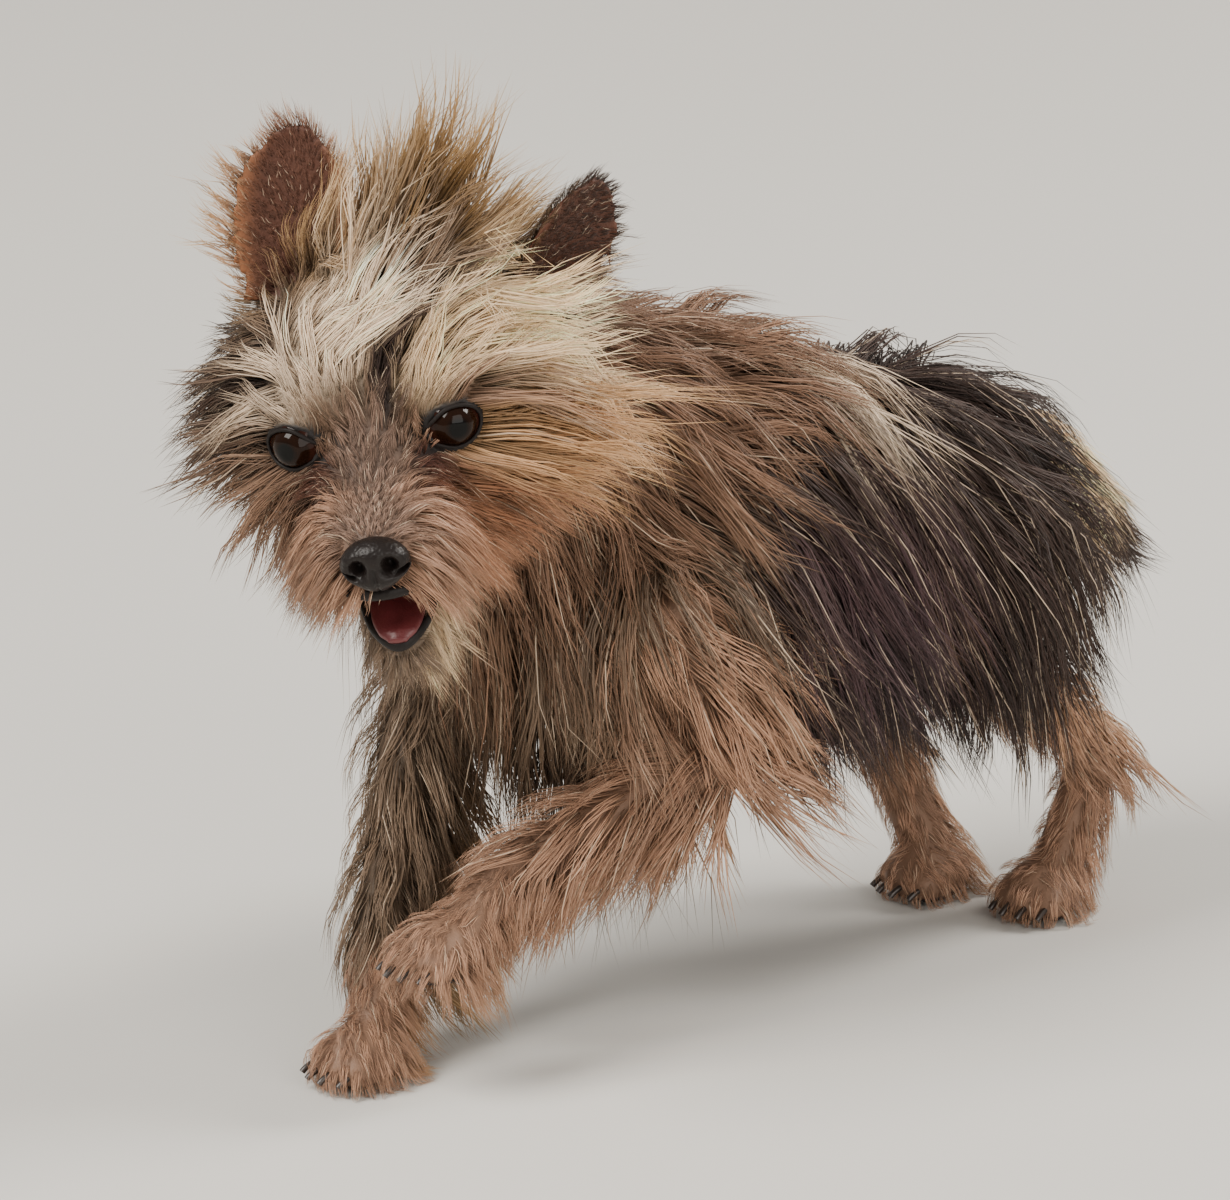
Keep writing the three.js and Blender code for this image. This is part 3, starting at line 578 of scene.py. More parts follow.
class ColourSettings(bpy.types.PropertyGroup):
    """Colours of the coat and of the bare skin."""

    black: colour_property("Black", "Deep hair of the rump", "#1d1513")
    umber: colour_property("Umber", "Blackish brown of the back and flanks", "#392a24")
    plum: colour_property("Plum", "Purple brown sheen of the flank", "#4a353a")
    brown: colour_property("Brown", "Middle brown of the shoulders", "#7c5e4a")
    taupe: colour_property("Taupe", "Grey brown of the chest", "#75614f")
    silver: colour_property("Silver", "Silver hair of the forehead", "#f0d8bc")
    cream: colour_property("Cream", "Cream hair of the brow and beard", "#f6d8b0")
    tan: colour_property("Tan", "Tan of the cheeks and legs", "#a9836a")
    # Gold is partly the coat's own colour and partly painted rim light on the crown's top, the ears' fringe
    # and the backs of the legs.
    gold: colour_property("Gold", "Golden fringe of the ears and crown", "#d9ab6c")
    rust: colour_property("Rust", "Rust at the corners of the mouth", "#8f5c3a")
    mauve: colour_property("Mauve", "Grey mauve of the bridge of the nose", "#80685a")
    # Tear stain, also used as the painted shade inside the right ear's cup and for the ear skin.
    stain: colour_property("Stain", "Tear stain below the eyes", "#4d2a20")
    leather: colour_property("Leather", "Nose, lips and soles", "#130d0b")
    # Near black inside of the mouth: partly its own dark colour, partly painted shade.
    mouth: colour_property("Mouth", "Inside of the mouth", "#2e100e")
    # The tongue's red is darkened as painted shade inside the mouth.
    tongue: colour_property("Tongue", "Tongue", "#642a2c")
    iris: colour_property("Iris", "Iris", "#1b0d06")
    claw: colour_property("Claw", "Claws", "#2b221d")


class StageSettings(bpy.types.PropertyGroup):
    """Floor and light."""

    floor: colour_property("Floor", "Pale floor", "#d6d3cd")
    key: FloatProperty(
        name="Key Light",
        description="Power of the main soft light",
        default=100,
        min=0,
        unit="POWER",
    )
    rim: FloatProperty(
        name="Rim Light",
        description="Power of the light behind the animal",
        default=60,
        min=0,
        unit="POWER",
    )
    sky: FloatProperty(name="Sky", description="Strength of the light all round", default=0.45, min=0)


SETTINGS = {
    "terrier_coat": CoatSettings,
    "terrier_skin": SkinSettings,
    "terrier_face": FaceSettings,
    "terrier_colours": ColourSettings,
    "terrier_stage": StageSettings,
}


# Places of the colours, as lines of: where its middle is, how far it reaches each way, colour, strength.
# Those of the head are in the head's own frame.
BODY_MARKS = [
    ((0, 60, 95), (60, 40, 60), "taupe", 1.0),
    ((0, 64, 176), (32, 36, 16), "brown", 0.8),
    ((0, 96, 178), (28, 44, 12), "brown", 0.9),
    ((36, 108, 140), (20, 40, 20), "plum", 0.6),
    ((-36, 108, 140), (20, 40, 20), "plum", 0.6),
    ((14, 115, 170), (13, 12, 12), "silver", 0.75),
    # Tan on the front of the left shoulder: partly tan hair, partly a painted highlight.
    ((32, 54, 112), (18, 18, 22), "tan", 0.75),
    ((44, 116, 118), (20, 42, 30), "plum", 0.7),
    ((-44, 116, 118), (20, 42, 30), "plum", 0.7),
    ((40, 118, 112), (20, 34, 22), "black", 0.6),
    ((-40, 118, 112), (20, 34, 22), "black", 0.6),
    ((0, 195, 150), (40, 26, 30), "black", 0.5),
    ((36, 170, 100), (20, 34, 34), "black", 0.75),
    ((-36, 170, 100), (20, 34, 34), "black", 0.75),
    ((38, 150, 138), (10, 26, 5), "taupe", 0.7),
    ((42, 136, 122), (9, 8, 14), "brown", 0.7),
    ((0, 226, 122), (14, 16, 12), "cream", 1.0),
    ((0, 120, 82), (40, 70, 10), "tan", 0.6),
]
HEAD_MARKS = [
    ((-30, 0, 20), (45, 60, 40), "taupe", 0.9),
    # Umber behind the right brow: partly dark hair, partly painted shadow.
    ((-26, -38, 20), (26, 16, 14), "umber", 0.9),
    ((-26, 38, -30), (40, 26, 30), "tan", 1.0),
    ((-26, -38, -30), (40, 26, 30), "brown", 0.9),
    ((-10, 30, -10), (26, 24, 20), "tan", 1.0),
    ((-5, -9, 22), (15, 12, 15), "silver", 1.0),
    ((-20, -4, 32), (13, 6, 12), "silver", 0.6),
    ((-10, -30, 12), (16, 9, 14), "umber", 0.8),
    ((-2, -18, 10), (9, 8, 7), "silver", 0.6),
    ((-12, 22, 20), (16, 14, 12), "cream", 1.0),
    ((-3, 14, 10), (9, 8, 8), "cream", 0.9),
    ((-20, 34, 6), (16, 14, 12), "cream", 0.8),
    ((0, 4, 13), (12, 3.2, 16), "umber", 1.0),
    ((-14, 11, 30), (20, 3.5, 16), "umber", 0.9),
    ((-36, 16, 38), (18, 10, 18), "umber", 0.7),
    ((-25, 6, 35), (15, 13, 12), "umber", 0.9),
    ((-6, 27, -8), (18, 12, 12), "gold", 0.4),
    ((10, 0, -4), (16, 9, 12), "mauve", 0.9),
    ((26, 0, -14), (10, 9, 8), "mauve", 0.9),
    ((7, 12.5, -9), (8, 5.5, 7), "stain", 0.95),
    ((7, -12.5, -9), (8, 5.5, 7), "stain", 0.85),
    ((8, 18, -22), (20, 14, 14), "rust", 0.65),
    ((14, -15, -26), (18, 13, 14), "brown", 0.8),
    ((10, 20, -42), (14, 12, 10), "cream", 0.8),
    ((2, 0, -42), (16, 14, 10), "taupe", 0.8),
    ((6, 11, -46), (14, 9, 11), "cream", 0.8),
]
BASE_COLOUR = {
    "torso": "umber",
    "neck": "brown",
    "skull": "brown",
    "muzzle": "tan",
    "jaw": "taupe",
    "tail": "umber",
    "ear_left": "umber",
    "ear_right": "tan",
    "upper": "umber",
    "lower": "tan",
    "foot": "tan",
}
LIMB_BASE = {
    # The left upper arm is tan, partly its own tan hair and partly a painted highlight; the right one is
    # taupe.
    "fore_left_upper": "tan",
    "fore_right_upper": "taupe",
    "fore_right_lower": "taupe",
    # Painted shade: the right hind lower leg is brown, darker than the tan of the other lower legs.
    "hind_right_lower": "brown",
}


def base_colour(region):
    if region in LIMB_BASE:
        return LIMB_BASE[region]
    return BASE_COLOUR.get(region, BASE_COLOUR.get(region.rsplit("_", 1)[-1], "brown"))


def marked_colours(points, regions):
    """The colour of the coat at points, from the base of each region and the marks that lie over it."""
    palette = bpy.context.scene.terrier_colours
    bases = np.array([getattr(palette, base_colour(name))[:] for name in REGIONS])
    colours = bases[regions]
    head = np.isin(regions, [REGIONS.index(name) for name in ("skull", "muzzle", "jaw")])
    body = np.isin(regions, [REGIONS.index(name) for name in ("torso", "neck", "tail")])
    for marks, places, where in ((BODY_MARKS, points, body), (HEAD_MARKS, off_head(points), head)):
        for middle, reach, colour, strength in marks:
            far = off_middle(places, middle, reach)
            share = (strength * (1 - smoothstep(far, 0.55, 1.25)) * where)[:, None]
            colours = mix(colours, np.array(getattr(palette, colour)[:]), share)
    return colours


DRIFT_WAVES = 10


def drift(points, size, seed):
    """A smooth random way at each point, that changes over about size millimetres."""
    draw = np.random.default_rng(seed)
    total = np.zeros((len(points), 3))
    for _ in range(DRIFT_WAVES):
        wave = unit(draw.normal(size=3)) * 2 * math.pi / (size * draw.uniform(0.7, 1.6))
        total += np.sin(points @ wave + draw.uniform(0, 2 * math.pi))[:, None] * draw.normal(size=3)
    return total / math.sqrt(DRIFT_WAVES)


# How the hair lies on each part: its flow, length, stand off the skin, droop, depth of the coat and density
def torso_hair(t, angle, out, points):
    side = np.sign(points[:, 0])
    low = np.abs((angle - 90 + 180) % 360 - 180)
    fall = np.interp(low, [0, 20, 46, 84, 180], [0.5, 0.75, 0.95, 1.1, 1.2])
    aside = np.interp(low, [0, 10, 90, 180], [0.35, 0.3, 0.16, 0])
    flow = np.stack([side * aside, mix(0.72, 0.3, t), -fall], axis=1)
    chest = 1 - smoothstep(t, 0.05, 0.2)
    chest = np.maximum(chest, (1 - smoothstep(t, 0.12, 0.38)) * smoothstep(low, 75, 120))
    down = np.stack([side * 0.1, np.full(len(t), 0.1), np.full(len(t), -1.0)], axis=1)
    flow = mix(flow, down, chest[:, None])
    length = np.interp(low, [0, 46, 84, 120, 150, 180], [66, 72, 72, 60, 42, 34]) * mix(0.95, 1.08, t)
    length = mix(length, np.interp(low, [0, 60, 180], [50, 68, 84]), chest)
    lobe = smoothstep(t, 0.5, 0.64) * (1 - smoothstep(t, 0.72, 0.88)) * (1 - smoothstep(low, 30, 70))
    length = length * (1 - 0.72 * smoothstep(t, 0.7, 0.86) * (1 - smoothstep(low, 46, 80)))
    return {
        "flow": unit(flow),
        "length": length,
        "stand": 0.35 + 0.5 * lobe,
        "droop": 0.25,
        "depth": np.interp(low, [0, 60, 120, 180], [14, 13, 10, 5]) + 6 * lobe + 6 * chest,
        "density": mix(np.interp(low, [0, 100, 150, 180], [1, 1, 0.6, 0.4]), 1.15, chest),
    }


def neck_hair(t, angle, out, points):
    round_it = np.radians(angle)
    low = (1 - np.sin(round_it)) / 2
    flow = np.stack([np.cos(round_it) * 0.15, mix(0.8, 0.2, low), mix(-0.5, -1, low)], axis=1)
    return {
        "flow": unit(flow),
        "length": mix(50.0, 76.0, low),
        "stand": 0.4,
        "droop": 0.25,
        "depth": mix(14.0, 20.0, low),
        "density": 1.0,
    }


# The combing of the head, as lines of: place on the head, the way of the hair, its length, how far it stands
# off the skin at its root, and the depth of the coat there. Places and ways are forwards, left and up.
HEAD_COMB = [
    ((14, 0, -7), (-0.9, 0.0, 0.25), 4, 0.25, 0.8),
    ((7, 0, -3), (-0.8, 0.1, 0.5), 7, 0.3, 1.2),
    ((2, 3, 6), (-0.5, 0.3, 0.8), 16, 0.45, 2.5),
    ((2, -4, 6), (-0.5, -0.1, 0.85), 14, 0.45, 2.5),
    ((-1, 12, 6), (-0.5, 0.6, 0.6), 16, 0.5, 3),
    ((-1, -12, 6), (-0.5, -0.1, 0.85), 14, 0.5, 3),
    ((4, 9, -1), (-0.5, 0.1, 0.8), 5, 0.25, 1.0),
    ((4, -9, -1), (-0.5, -0.1, 0.8), 5, 0.25, 1.0),
    ((5, 13, -9), (-0.35, 0.8, -0.45), 8, 0.3, 1.2),
    ((5, -13, -9), (-0.35, -0.8, -0.45), 8, 0.3, 1.2),
    ((-5, 9, 15), (-0.3, 0.6, 0.7), 34, 0.6, 6),
    ((-9, 21, 18), (-0.4, 0.95, -0.1), 42, 0.6, 8),
    ((-14, 16, 30), (-0.3, 0.75, 0.45), 44, 0.8, 12),
    ((-22, 9, 34), (-0.12, 0.4, 0.9), 60, 1.6, 38),
    ((-17, -17, 28), (-0.3, 0.6, 0.5), 15, 0.3, 3),
    ((-16, 3, 32), (-0.2, 0.3, 0.9), 50, 1.2, 26),
    ((-36, 20, 30), (-0.55, 0.7, 0.35), 44, 0.7, 14),
    ((-10, 30, 6), (-0.35, 0.95, -0.2), 42, 0.5, 9),
    ((-4, 27, -4), (-0.35, 0.95, -0.1), 60, 0.5, 8),
    ((-10, 30, -1), (-0.35, 0.95, -0.15), 66, 0.5, 9),
    ((-2, 22, -14), (-0.45, 0.88, -0.25), 58, 0.5, 9),
    ((0, 16, -24), (-0.4, 0.7, -0.6), 44, 0.5, 10),
    ((-36, 32, -8), (-0.6, 0.7, -0.45), 44, 0.4, 11),
    ((-24, 20, -24), (-0.5, 0.4, -0.85), 42, 0.4, 10),
    ((-5, -4, 20), (-0.25, 0.62, 0.75), 38, 0.7, 9),
    ((-8, -14, 22), (-0.25, 0.75, 0.55), 26, 0.4, 5),
    ((-6, -24, 13), (-0.4, -0.85, -0.25), 36, 0.5, 8),
    ((-14, -27, 18), (-0.45, -0.9, -0.05), 40, 0.5, 9),
    ((-20, -25, 22), (-0.5, -0.8, -0.1), 26, 0.45, 6),
    ((-26, -4, 34), (-0.15, 0.4, 0.9), 42, 1.2, 22),
    ((-10, -30, 0), (-0.4, -0.8, -0.4), 40, 0.5, 10),
    ((0, -24, -12), (-0.35, -0.75, -0.6), 40, 0.5, 10),
    ((0, -17, -24), (-0.3, -0.6, -0.8), 40, 0.5, 10),
    ((-36, -32, -8), (-0.6, -0.6, -0.5), 42, 0.4, 11),
    ((-24, -20, -24), (-0.5, -0.4, -0.85), 40, 0.4, 10),
    ((-52, 6, 14), (-0.75, 0.2, -0.2), 42, 0.35, 11),
    ((-46, -14, 24), (-0.7, -0.2, 0.1), 40, 0.45, 11),
]
# Points nearer to a row than this, in millimetres, take little more of it than others do
COMB_REACH = 3.0


def combed(points):
    """Way, length, stand and depth of the hair at points of the head, from the combing."""
    places = off_head(points)
    rows = np.array([[*at, *way, length, stand, depth] for at, way, length, stand, depth in HEAD_COMB])
    total = np.zeros((len(points), 6))
    weights = np.zeros(len(points))
    for row in rows:
        weight = 1 / (COMB_REACH**2 + np.sum((places - row[:3]) ** 2, axis=1)) ** 2
        total += weight[:, None] * row[3:]
        weights += weight
    return total / weights[:, None]


def skull_hair(t, angle, out, points):
    found = combed(points)
    places = off_head(points)
    standing = smoothstep(found[:, 4], 0.6, 1.2)
    return {
        "flow": head_way(found[:, :3]),
        "length": found[:, 3],
        "stand": found[:, 4],
        "droop": mix(0.5, 0.25, standing),
        "depth": found[:, 5],
        "density": 1 + 0.9 * smoothstep(-found[:, 3], -26, -8) + 0.2 * (places[:, 0] > -20) + 0.5 * standing,
    }


def muzzle_hair(t, angle, out, points):
    places = off_head(points)
    side = np.sign(places[:, 1])
    up = np.degrees(np.arctan2(places[:, 2] + 13 + 8 * t, np.abs(places[:, 1])))
    top = smoothstep(up, 20, 60)
    beside = np.stack([mix(-0.45, -0.12, t), side * mix(0.75, 0.6, t), mix(-0.62, -0.8, t)], axis=1)
    above = np.stack([np.full(len(t), -1.0), side * 0.3, np.full(len(t), 0.2)], axis=1)
    length = mix(mix(40, 20, t), 4.0, top)
    roof = 1 - smoothstep(up, -75, -55)
    return {
        "flow": head_way(mix(beside, above, top[:, None])),
        "length": mix(length, 3, roof),
        "stand": mix(0.5, 0.2, top),
        "droop": mix(0.9, 0.0, top),
        "depth": mix(mix(9.0, 5.0, t), 0.8, top),
        "density": mix(1.4, 2.4, top) * (1 - roof),
    }


def jaw_hair(t, angle, out, points):
    places = off_head(points)
    below = smoothstep(-(out @ HEAD)[:, 2], -0.3, 0.2)
    flow = np.stack([np.full(len(t), -0.45), np.sign(places[:, 1]) * 0.3, np.full(len(t), -0.85)], axis=1)
    return {
        "flow": head_way(flow),
        "length": mix(4, mix(26, 16, smoothstep(t, 0.7, 1)), below),
        "stand": 0.4,
        "droop": 0.2,
        "depth": 4.0,
        "density": 1.5 * below,
    }


def tail_hair(t, angle, out, points):
    flow = np.stack([out[:, 0] * 0.25, np.full(len(t), 0.62), np.full(len(t), -0.75)], axis=1)
    return {
        "flow": unit(flow),
        "length": 36.0,
        "stand": 0.45,
        "droop": 0.05,
        "depth": 9.0,
        "density": 1.6,
    }


def limb_hair(name):
    """How the hair lies on one length of one leg."""
    leg, part = name.rsplit("_", 1)
    hind = leg.startswith("hind")
    side = 1 if leg.endswith("left") else -1
    form = LEGS[leg][part]
    trail = np.array([0, 0.5, -0.7]) if hind else np.array([0, 0.9, -0.25])
    longest = {"upper": 48, "lower": 40 if hind else 50, "foot": 24}[part]
    shortest = {"upper": 30, "lower": 20 if hind else 28, "foot": 9}[part]
    depth = {"upper": 9.0, "lower": 6.0 if hind else 8.0, "foot": 2.6}[part]
    density = {"upper": 1.0, "lower": 1.5, "foot": 3.0}[part]

    def hair(t, angle, out, points):
        along = form.section(t)[1]
        behind = smoothstep(out[:, 1], -0.4, 0.8)
        outside = smoothstep(out[:, 0] * side, 0.2, 1) * 0.5
        long_share = np.clip(behind + outside, 0, 1)[:, None]
        flow = unit(along * 0.7 + trail * (0.15 + 0.85 * long_share))
        return {
            "flow": flow,
            "length": mix(shortest, longest, long_share[:, 0]),
            "stand": 0.4,
            "droop": 0.2,
            "depth": depth,
            "density": density,
        }

    return hair


def ear_hair(ear, side):
    """How the hair lies on one ear: short in the cup, longer on the back and as a fringe round the rim."""
    wind = head_way([-0.5, 0.5, -0.3]) * 0.6 if side > 0 else head_way([-0.3, -0.5, 0.1]) * 0.6
    fringe = 9 if side > 0 else 26

    def hair(u, v, out, points):
        inside = smoothstep(out @ ear.out, 0.1, 0.5)
        rim = np.clip(smoothstep(np.abs(v), 0.78, 0.98) + smoothstep(u, 0.88, 0.99), 0, 1)
        outward_way = unit(v[:, None] * ear.across + (0.3 + u[:, None]) * ear.up)
        inner_side = smoothstep(v * side, -0.2, 0.8)
        tip = smoothstep(u, 0.7, 1.0)
        return {
            "flow": unit(outward_way + wind * (0.4 + 0.6 * rim[:, None])),
            "length": mix(mix(9, 3.2, inside), fringe * (1 - 0.5 * inner_side) * (1 - 0.6 * tip), rim),
            "stand": mix(0.25, 0.5, rim),
            "droop": 0.05,
            "depth": mix(1.5, 0.5, inside),
            "density": mix(1.8, 2.6, rim),
        }

    return hair


HAIR_OF = {
    "torso": torso_hair,
    "neck": neck_hair,
    "skull": skull_hair,
    "muzzle": muzzle_hair,
    "jaw": jaw_hair,
    "tail": tail_hair,
    "ear_left": ear_hair(EARS[1], 1),
    "ear_right": ear_hair(EARS[-1], -1),
}
HAIR_OF.update({form.name: limb_hair(form.name) for leg in LEGS.values() for form in leg.values()})
# Stations along each part at which points of the skin are matched to it
BEADS = 40
# Where the skin is bare or dark, as middle and reach on the head
NOSE_BARE = ((33, 0, -20), (6, 8.5, 6.6))
MOUTH_BARE = ((10, 0, -35), (20, 10, 5.5))
MOUTH_DARK = ((8, 0, -34), (24, 13, 8))
SOLE_REACH = 22
# Rounds that even the lie of the hair out where parts meet
HAIR_ROUNDS = 10


class Skin:
    """The finished skin: its points, faces and normals, the part that each point belongs to, and its hair."""

    def __init__(self, obj):
        mesh = obj.data
        self.points = read(mesh.vertices, "co", 3) / MM - SHIFT
        self.normals = read(mesh.vertices, "normal", 3)
        mesh.calc_loop_triangles()
        self.faces = read(mesh.loop_triangles, "vertices", 3, np.int32)
        self.edges = read(mesh.edges, "vertices", 2, np.int32)
        self.tree = BVHTree.FromPolygons(self.points.tolist(), self.faces.tolist())
        self.find_regions()
        self.find_hair()

    def find_regions(self):
        """The part, the share along it and the angle round it of each point."""
        count = len(self.points)
        best = np.full(count, np.inf)
        self.region = np.zeros(count, int)
        self.t = np.zeros(count)
        self.angle = np.zeros(count)
        for index, form in enumerate(FORMS):
            shares = np.linspace(0, 1, BEADS)
            at, along, side, up, wide, tall = form.section(shares)
            step = np.linalg.norm(at[-1] - at[0]) / (BEADS - 1)
            for k in range(BEADS):
                gap = self.points - at[k]
                x, y, z = gap @ side[k], gap @ up[k], gap @ along[k]
                deep = min(wide[k], tall[k])
                far = (np.sqrt((x / wide[k]) ** 2 + (y / tall[k]) ** 2 + (z / deep) ** 2) - 1) * deep
                near = far < best
                best[near] = far[near]
                self.region[near] = index
                self.t[near] = np.clip(shares[k] + z[near] / max(step, 1e-6) / BEADS, 0, 1)
                self.angle[near] = np.degrees(np.arctan2(y[near] / tall[k], x[near] / wide[k])) % 360
        for side, ear in EARS.items():
            u, v, front = ear.places(self.points)
            on_ear = ear.holds(u, v, front, lowest=-0.12, widest=1.25, thickest=4.5)
            on_ear &= (u < 1.15) & (best > 0.8)
            self.region[on_ear] = REGIONS.index(ear.name)
            self.t[on_ear] = np.clip(u[on_ear], 0, 1)
            self.angle[on_ear] = np.clip(v[on_ear], -1, 1)

    def find_hair(self):
        """The lie of the hair at each point, evened out where parts meet."""
        count = len(self.points)
        self.hair = {"flow": np.zeros((count, 3))}
        for name in ("length", "stand", "droop", "depth", "density"):
            self.hair[name] = np.zeros(count)
        for index, name in enumerate(REGIONS):
            here = self.region == index
            found = HAIR_OF[name](self.t[here], self.angle[here], self.normals[here], self.points[here])
            for key, values in found.items():
                self.hair[key][here] = values
        bare = self.bare()
        for key in ("flow", "length", "stand", "droop", "depth", "density"):
            self.hair[key] = spread_over(self.hair[key], self.edges, HAIR_ROUNDS)
        self.hair["flow"] = unit(self.hair["flow"])
        self.hair["density"] = self.hair["density"] * (1 - bare)

    def bare(self):
        """Where the skin has no hair: at the eyes, in the mouth, behind the nose leather and on the soles."""
        places = off_head(self.points)
        bare = np.zeros(len(self.points))
        for side in (1, -1):
            opening = lid_opening(self.points, side, bpy.context.scene.terrier_face)[0]
            bare = np.maximum(bare, 1 - smoothstep(opening, 1.02, 1.1))
        nose = off_middle(places, *NOSE_BARE)
        bare = np.maximum(bare, 1 - smoothstep(nose, 0.9, 1.0))
        mouth = off_middle(places, *MOUTH_BARE)
        bare = np.maximum(bare, 1 - smoothstep(mouth, 0.9, 1.05))
        for name in LEGS:
            middle, _, _, _ = paw_places(name)
            near = np.linalg.norm(self.points - middle, axis=1) < SOLE_REACH
            sole = near & (self.points[:, 2] < middle[2] - 5)
            bare[sole & (self.normals[:, 2] < -0.6)] = 1
        return bare

    def nearest(self, points):
        """For each point, the height over the skin and the way out of it."""
        height = np.zeros(len(points))
        way = np.zeros((len(points), 3))
        for k, point in enumerate(points.tolist()):
            place, normal, _, far = self.tree.find_nearest(point)
            out = np.array(normal)
            height[k] = math.copysign(far, np.dot(np.array(point) - np.array(place), out))
            way[k] = out
        return height, way

    def sample(self, count, where, draw):
        """Roots spread over the faces where the weight is high, as faces and shares of their corners."""
        corners = self.points[self.faces]
        area = np.linalg.norm(np.cross(corners[:, 1] - corners[:, 0], corners[:, 2] - corners[:, 0]), axis=1)
        weight = area * (self.hair["density"] * where)[self.faces].mean(axis=1)
        total = np.cumsum(weight)
        picks = (np.arange(count) + draw.uniform(size=count)) / count * total[-1]
        faces = np.minimum(np.searchsorted(total, picks), len(weight) - 1)
        first, second = draw.uniform(size=(2, count))
        over = first + second > 1
        first[over], second[over] = 1 - first[over], 1 - second[over]
        shares = np.stack([1 - first - second, first, second], axis=1)
        return faces, shares

    def read_at(self, values, faces, shares):
        corners = values[self.faces[faces]]
        if corners.ndim == 2:
            return np.einsum("ij,ij->i", corners, shares)
        return np.einsum("ijk,ij->ik", corners, shares)


def read(items, name, width, kind=np.float32):
    values = np.empty(len(items) * width, kind)
    items.foreach_get(name, values)
    return values.reshape(-1, width).astype(float if kind is np.float32 else int)


def spread_over(values, edges, rounds):
    """Values of the points evened out along the edges."""
    flat = values.reshape(len(values), -1)
    ends = np.concatenate([edges[:, 0], edges[:, 1]])
    others = np.concatenate([edges[:, 1], edges[:, 0]])
    degree = np.maximum(np.bincount(ends, minlength=len(flat)), 1)
    for _ in range(rounds):
        columns = [np.bincount(ends, flat[others, k], len(flat)) / degree for k in range(flat.shape[1])]
        flat = (flat + np.stack(columns, axis=1)) / 2
    return flat.reshape(values.shape)


def new_object(name, points, faces, material):
    """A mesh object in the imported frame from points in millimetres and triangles."""
    mesh = bpy.data.meshes.new(name)
    mesh.vertices.add(len(points))
    mesh.vertices.foreach_set("co", to_frame(points).astype(np.float32).ravel())
    mesh.loops.add(len(faces) * 3)
    mesh.loops.foreach_set("vertex_index", faces.astype(np.int32).ravel())
    mesh.polygons.add(len(faces))
    mesh.polygons.foreach_set("loop_start", np.arange(len(faces), dtype=np.int32) * 3)
    mesh.polygons.foreach_set("use_smooth", np.ones(len(faces), bool))
    mesh.update(calc_edges=True)
    mesh.validate()
    mesh.materials.append(material)
    obj = bpy.data.objects.new(name, mesh)
    bpy.context.scene.collection.objects.link(obj)
    return obj


def set_colours(obj, colours):
    """A colour for each point, linear red, green and blue."""
    layer = obj.data.color_attributes.new("Marking", "FLOAT_COLOR", "POINT")
    whole = np.column_stack([colours, np.ones(len(colours))])
    layer.data.foreach_set("color", whole.astype(np.float32).ravel())


def set_uv(obj, places):
    """The OFBake map from a place for each point."""
    loops = np.empty(len(obj.data.loops), np.int32)
    obj.data.loops.foreach_get("vertex_index", loops)
    layer = obj.data.uv_layers.new(name="OFBake")
    layer.data.foreach_set("uv", places[loops].astype(np.float32).ravel())


def add_node(tree, kind, settings=None, **inputs):
    """One node with its settings, and its inputs set to a value or linked to another node's output."""
    node = tree.nodes.new(kind)
    for name, value in (settings or {}).items():
        setattr(node, name, value)
    for name, value in inputs.items():
        key = int(name[1:]) if name.startswith("_") else name.replace("_", " ")
        socket = node.inputs[key]
        if isinstance(value, bpy.types.NodeSocket):
            tree.links.new(value, socket)
        else:
            socket.default_value = value
    return node


def new_material(name):
    """A bare node material with its output and its surface shader."""
    material = bpy.data.materials.new(name)
    material.use_nodes = True
    tree = material.node_tree
    tree.nodes.clear()
    shader = tree.nodes.new("ShaderNodeBsdfPrincipled")
    output = tree.nodes.new("ShaderNodeOutputMaterial")
    tree.links.new(shader.outputs["BSDF"], output.inputs["Surface"])
    return material, tree, shader


def set_shader(shader, **values):
    for name, value in values.items():
        shader.inputs[name.replace("_", " ")].default_value = value


def hair_material():
    """Long silky dog hair: keratin over pigment, so a soft broad shine, with faint spots of shade."""
    material, tree, shader = new_material("silky_hair")
    marking = add_node(tree, "ShaderNodeAttribute", {"attribute_name": "Marking"})
    place = add_node(tree, "ShaderNodeTexCoord")
    spots = add_node(
        tree,
        "ShaderNodeTexNoise",
        Vector=place.outputs["Object"],
        Scale=1 / (2.381 * MM),
        Detail=2.0,
    )
    shade = add_node(tree, "ShaderNodeMapRange", Value=spots.outputs["Fac"], To_Min=0.8, To_Max=1.2)
    tint = add_node(
        tree,
        "ShaderNodeVectorMath",
        {"operation": "SCALE"},
        _0=marking.outputs["Color"],
        Scale=shade.outputs["Result"],
    )
    tree.links.new(tint.outputs["Vector"], shader.inputs["Base Color"])
    set_shader(shader, Roughness=0.5, IOR=1.5, Specular_IOR_Level=0.35)
    return material


def skin_material():
    """Thin dog skin under the coat: matt, with fine pores about 0.6 millimetres apart."""
    material, tree, shader = new_material("dog_skin")
    marking = add_node(tree, "ShaderNodeAttribute", {"attribute_name": "Marking"})
    place = add_node(tree, "ShaderNodeTexCoord")
    pores = add_node(tree, "ShaderNodeTexVoronoi", Vector=place.outputs["Object"], Scale=1 / (0.6 * MM))
    mottle = add_node(
        tree,
        "ShaderNodeTexNoise",
        Vector=place.outputs["Object"],
        Scale=1 / (6 * MM),
        Detail=4.0,
    )
    shade = add_node(tree, "ShaderNodeMapRange", Value=mottle.outputs["Fac"], To_Min=0.75, To_Max=1.15)
    tint = add_node(
        tree,
        "ShaderNodeVectorMath",
        {"operation": "SCALE"},
        _0=marking.outputs["Color"],
        Scale=shade.outputs["Result"],
    )
    bump = add_node(tree, "ShaderNodeBump", Height=pores.outputs["Distance"], Strength=0.3, Distance=0.3 * MM)
    tree.links.new(tint.outputs["Vector"], shader.inputs["Base Color"])
    tree.links.new(bump.outputs["Normal"], shader.inputs["Normal"])
    set_shader(shader, Roughness=0.6, IOR=1.4)
    return material


